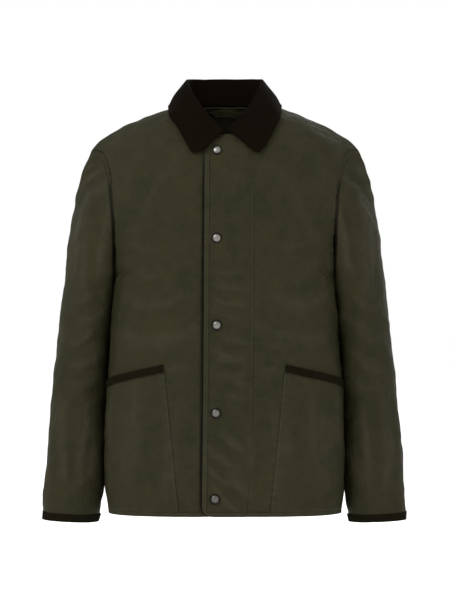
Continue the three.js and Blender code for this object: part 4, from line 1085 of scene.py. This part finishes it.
@dataclass
class Sewing:
    """The rows of machine stitches that show on the outside."""

    length: float = 2.7
    thickness: float = 0.5
    sink: float = 0.12

    def rows(self) -> tuple[StitchRow, ...]:
        """Lists the rows, in the order they are sewn.

        Returns:
            The rows.
        """
        rows = [
            StitchRow("placket", Aim.FRONT, self.beside(PLACKET_SEAM, 3.0)),
            StitchRow("placket", Aim.FRONT, self.beside(PLACKET_EDGE, -5.2)),
            StitchRow("placket_binding", Aim.FRONT, ((-22.0, -694.6), (36.0, -694.6))),
            StitchRow("hem_binding_left", Aim.FRONT, ((40.0, -694.6), (190.0, -694.6))),
            StitchRow("hem_binding_right", Aim.FRONT, ((-190.0, -694.6), (-42.0, -694.6))),
            StitchRow("hem_binding_back", Aim.BACK, ((-190.0, -694.6), (190.0, -694.6))),
        ]
        for name, sign, pocket, armhole in (
            ("left", 1.0, POCKET_FRONT_LEFT, ARMHOLE_LEFT),
            ("right", -1.0, POCKET_FRONT_RIGHT, ARMHOLE_RIGHT),
        ):
            for inset in (2.5, 8.5):
                rows.append(StitchRow(f"pocket_{name}", Aim.FRONT, self.beside(pocket, -inset * sign)))
            mouth = ((sign * 103.0, -458.5), (sign * 150.0, -469.0), (sign * 198.0, -480.5))
            rows.append(StitchRow(f"pocket_binding_{name}", Aim.FRONT, mouth))
            inside = self.beside(armhole, 4.0 * sign)
            rows.append(StitchRow(f"front_{name}", Aim.FRONT, inside))
            rows.append(StitchRow("back", Aim.BACK, inside))
            rows.append(StitchRow("back", Aim.ABOVE, ((sign * 76.0, 3.5), (sign * 222.0, 3.5))))
            middle, slope = -699.0, 2.5 * sign
            ring = tuple((float(turn), middle + slope * math.cos(math.radians(turn))) for turn in range(0, 361, 45))
            rows.append(StitchRow(f"sleeve_{name}", Aim.ROUND, ring, (sign * 263.0, 3.0)))
        return tuple(rows)

    @staticmethod
    def beside(line: Line, away: float) -> Line:
        """Moves a line sideways.

        Args:
            line: The line's points, in millimetres.
            away: How far, to the line's right when that is above zero.

        Returns:
            The moved line.
        """
        moved = []
        for number, (x, z) in enumerate(line):
            ax, az = line[max(number - 1, 0)]
            bx, bz = line[min(number + 1, len(line) - 1)]
            length = math.hypot(bx - ax, bz - az)
            moved.append((x + away * (bz - az) / length, z - away * (bx - ax) / length))
        return tuple(moved)

    def sew(self, bm: bmesh.types.BMesh, row: StitchRow, tree: BVHTree) -> int:
        """Adds one row of stitches.

        Args:
            bm: The mesh that collects the stitches.
            row: The row to sew.
            tree: The faces of the cloth it is sewn on.

        Returns:
            How many stitches were made.
        """
        found = []
        for start, way in row.rays():
            hit, normal, _, _ = tree.ray_cast(start, way)
            found.append((hit, normal) if hit else None)
        made = 0
        for here, there in zip(found[:-1], found[1:]):
            if not here or not there:
                continue
            along = there[0] - here[0]
            if along.length > 2.5 * row.pitch * MM:
                continue
            self.stitch(bm, here[0], along.normalized(), here[1])
            made += 1
        return made

    def stitch(self, bm: bmesh.types.BMesh, place: Vector, along: Vector, normal: Vector) -> None:
        """Adds one stitch, a short spindle of thread lying on the cloth.

        Args:
            bm: The mesh that collects the stitches.
            place: Its middle on the cloth.
            along: The way it runs.
            normal: The cloth's outward way there.
        """
        across = along.cross(normal).normalized()
        out = across.cross(along).normalized()
        if out.dot(normal) < 0:
            out.negate()
        turn = Matrix((across, out, along)).transposed().to_4x4()
        scale = Matrix.Diagonal((self.thickness, self.thickness, self.length, 2.0 / MM)) * (MM / 2.0)
        seat = Matrix.Translation(place + out * self.sink * MM)
        bmesh.ops.create_uvsphere(bm, u_segments=5, v_segments=4, radius=1.0, matrix=seat @ turn @ scale)

    def make(self, cloth: dict[str, bpy.types.Object], finish: bpy.types.Material) -> None:
        """Sews every row.

        Args:
            cloth: The cloth pieces by node name.
            finish: The thread's material.
        """
        graph = bpy.context.evaluated_depsgraph_get()
        groups: dict[str, list[StitchRow]] = {}
        for row in self.rows():
            groups.setdefault(row.target, []).append(row)
        for target, rows in groups.items():
            tree = BVHTree.FromObject(cloth[target], graph)
            bm = bmesh.new()
            made = sum(self.sew(bm, row, tree) for row in rows)
            for face in bm.faces:
                face.smooth = True
            mesh = bpy.data.meshes.new(f"{target}_stitching")
            bm.to_mesh(mesh)
            bm.free()
            show(f"{target}_stitching", mesh, [finish], "waxed_cotton")
            LOG.info("%s_stitching: %d stitches", target, made)


@dataclass
class SnapCap:
    """One domed snap cap with a rolled rim and a groove round its dome, with painted reflection and shade darkening
    the dome's edge and the rim.
    """

    node: str
    painted_dimming: float = 0.0
    profile: tuple[tuple[float, float], ...] = (
        (0.0, 3.7), (2.4, 3.6), (4.6, 3.2), (6.1, 2.5), (6.9, 1.7), (7.1, 1.1),
        (7.4, 1.05), (7.8, 1.7), (8.35, 1.8), (8.8, 1.4), (8.95, 0.8), (8.75, 0.1), (8.3, 0.0),
    )

    def seat(self) -> tuple[Vector, Vector]:
        """Finds the cap's seat and its outward way from its solid.

        Returns:
            The middle of its flat face and a unit vector.
        """
        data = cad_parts[self.node].data
        points = read_points(data)
        points = np.unique(points.round(3), axis=0)
        middle = points.mean(0)
        _, _, ways = np.linalg.svd(points - middle)
        way = ways[2] * (-1.0 if ways[2][1] > 0 else 1.0)
        low = ((points - middle) @ way).min()
        return Vector((middle + way * low) * MM), Vector(way)

    def make(self, finish: bpy.types.Material) -> None:
        """Spins the cap and lays it on the placket.

        Args:
            finish: The metal.
        """
        bm = bmesh.new()
        ring = [bm.verts.new((r * MM, 0.0, h * MM)) for r, h in self.profile]
        edges = [bm.edges.new(pair) for pair in zip(ring[:-1], ring[1:])]
        bmesh.ops.spin(
            bm, geom=ring + edges, cent=(0, 0, 0), axis=(0, 0, 1), dvec=(0, 0, 0),
            angle=math.tau, steps=32, use_merge=True, use_duplicate=False,
        )
        bmesh.ops.remove_doubles(bm, verts=bm.verts[:], dist=0.02 * MM)
        bmesh.ops.holes_fill(bm, edges=[edge for edge in bm.edges if edge.is_boundary], sides=0)
        bmesh.ops.recalc_face_normals(bm, faces=bm.faces[:])
        for face in bm.faces:
            face.smooth = True
        # Painted reflection and shade: darker towards the dome's edge, near black on the rim, and the whole cap darker
        # by its own given amount
        layer = bm.verts.layers.float.new("reflection_shade")
        for vert in bm.verts:
            away = math.hypot(vert.co.x, vert.co.y) / MM
            shade = self.painted_dimming + (1.0 - self.painted_dimming) * min(away / 6.9, 1.0) ** 3 * 0.8
            vert[layer] = 1.0 if away > 6.8 else shade
        seat, way = self.seat()
        turn = Vector((0, 0, 1)).rotation_difference(way).to_matrix().to_4x4()
        bmesh.ops.transform(bm, matrix=Matrix.Translation(seat) @ turn, verts=bm.verts[:])
        mesh = bpy.data.meshes.new(f"{self.node}_cap")
        bm.to_mesh(mesh)
        bm.free()
        piece = show(f"{self.node}_cap", mesh, [finish], "snap_metal")
        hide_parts(self.node)
        LOG.info("%s_cap laid on the placket", self.node)


@dataclass
class Studio:
    """The pale floor, the soft lights and the camera."""

    floor: float = -0.95
    radius: float = 16.0
    distance: float = 4.0
    eye: float = -0.337
    shift: float = 0.00086
    lens: float = 139.5

    def lay_floor(self, finish: bpy.types.Material) -> None:
        """Makes the floor as one broad round sheet.

        Args:
            finish: The paper.
        """
        bm = bmesh.new()
        level = Matrix.Translation((0.0, 0.0, self.floor))
        bmesh.ops.create_circle(bm, cap_ends=True, segments=96, radius=self.radius, matrix=level)
        mesh = bpy.data.meshes.new("studio_floor")
        bm.to_mesh(mesh)
        bm.free()
        show("studio_floor", mesh, [finish])

    def lamp(self, name: str, place: tuple[float, float, float], size: float, power: float) -> None:
        """Adds a soft square light that faces the jacket.

        Args:
            name: The light's name.
            place: Where it hangs, in metres.
            size: Its side, in metres.
            power: Its power, in watts.
        """
        data = bpy.data.lights.new(name, "AREA")
        data.shape = "SQUARE"
        data.size = size
        data.energy = power
        lamp = bpy.data.objects.new(name, data)
        bpy.context.scene.collection.objects.link(lamp)
        lamp.location = place
        lamp.rotation_euler = (Vector((0, 0, -0.35)) - Vector(place)).to_track_quat("-Z", "Y").to_euler()

    def light(self) -> None:
        """Hangs the lights and sets the even light all round."""
        self.lamp("key", (-1.9, -2.6, 1.9), 1.6, 78.0)
        self.lamp("fill", (2.2, -2.6, 0.4), 2.4, 16.0)
        self.lamp("top", (0.2, 0.5, 2.6), 2.2, 10.0)
        self.lamp("behind", (1.3, 3.2, 1.5), 2.0, 60.0)
        world = bpy.data.worlds.new("even_light")
        world.use_nodes = True
        world.node_tree.nodes["Background"].inputs[0].default_value = (1.0, 1.0, 1.0, 1.0)
        world.node_tree.nodes["Background"].inputs[1].default_value = 1.0
        bpy.context.scene.world = world

    def aim(self) -> None:
        """Sets the camera at the photograph's place and the plain colour transform."""
        data = bpy.data.cameras.new("camera")
        data.lens = self.lens
        data.sensor_width = 36.0
        data.sensor_fit = "AUTO"
        data.clip_end = 60.0
        camera = bpy.data.objects.new("camera", data)
        bpy.context.scene.collection.objects.link(camera)
        camera.location = (self.shift, -self.distance, self.eye)
        camera.rotation_euler = (math.pi / 2, 0.0, 0.0)
        bpy.context.scene.camera = camera
        bpy.context.scene.view_settings.view_transform = "Standard"


def main() -> None:
    """Builds the studio, the cloth, the sewing and the snaps in order."""
    logging.basicConfig(level=logging.INFO, format="%(message)s")
    studio = Studio()
    studio.aim()
    studio.light()
    studio.lay_floor(StudioPaper().material())
    finishes = {finish.name: finish.material() for finish in FINISHES}
    cloth = Jacket().build(finishes)
    Sewing().make(cloth, finishes["thread"])
    # Each snap's amount of painted darkening, larger for the last three
    for number, painted_dimming in enumerate((0.0, 0.0, 0.12, 0.4, 0.55), start=1):
        SnapCap(f"snap_{number}", painted_dimming).make(finishes["snap_metal"])


if __name__ == "__main__":
    main()
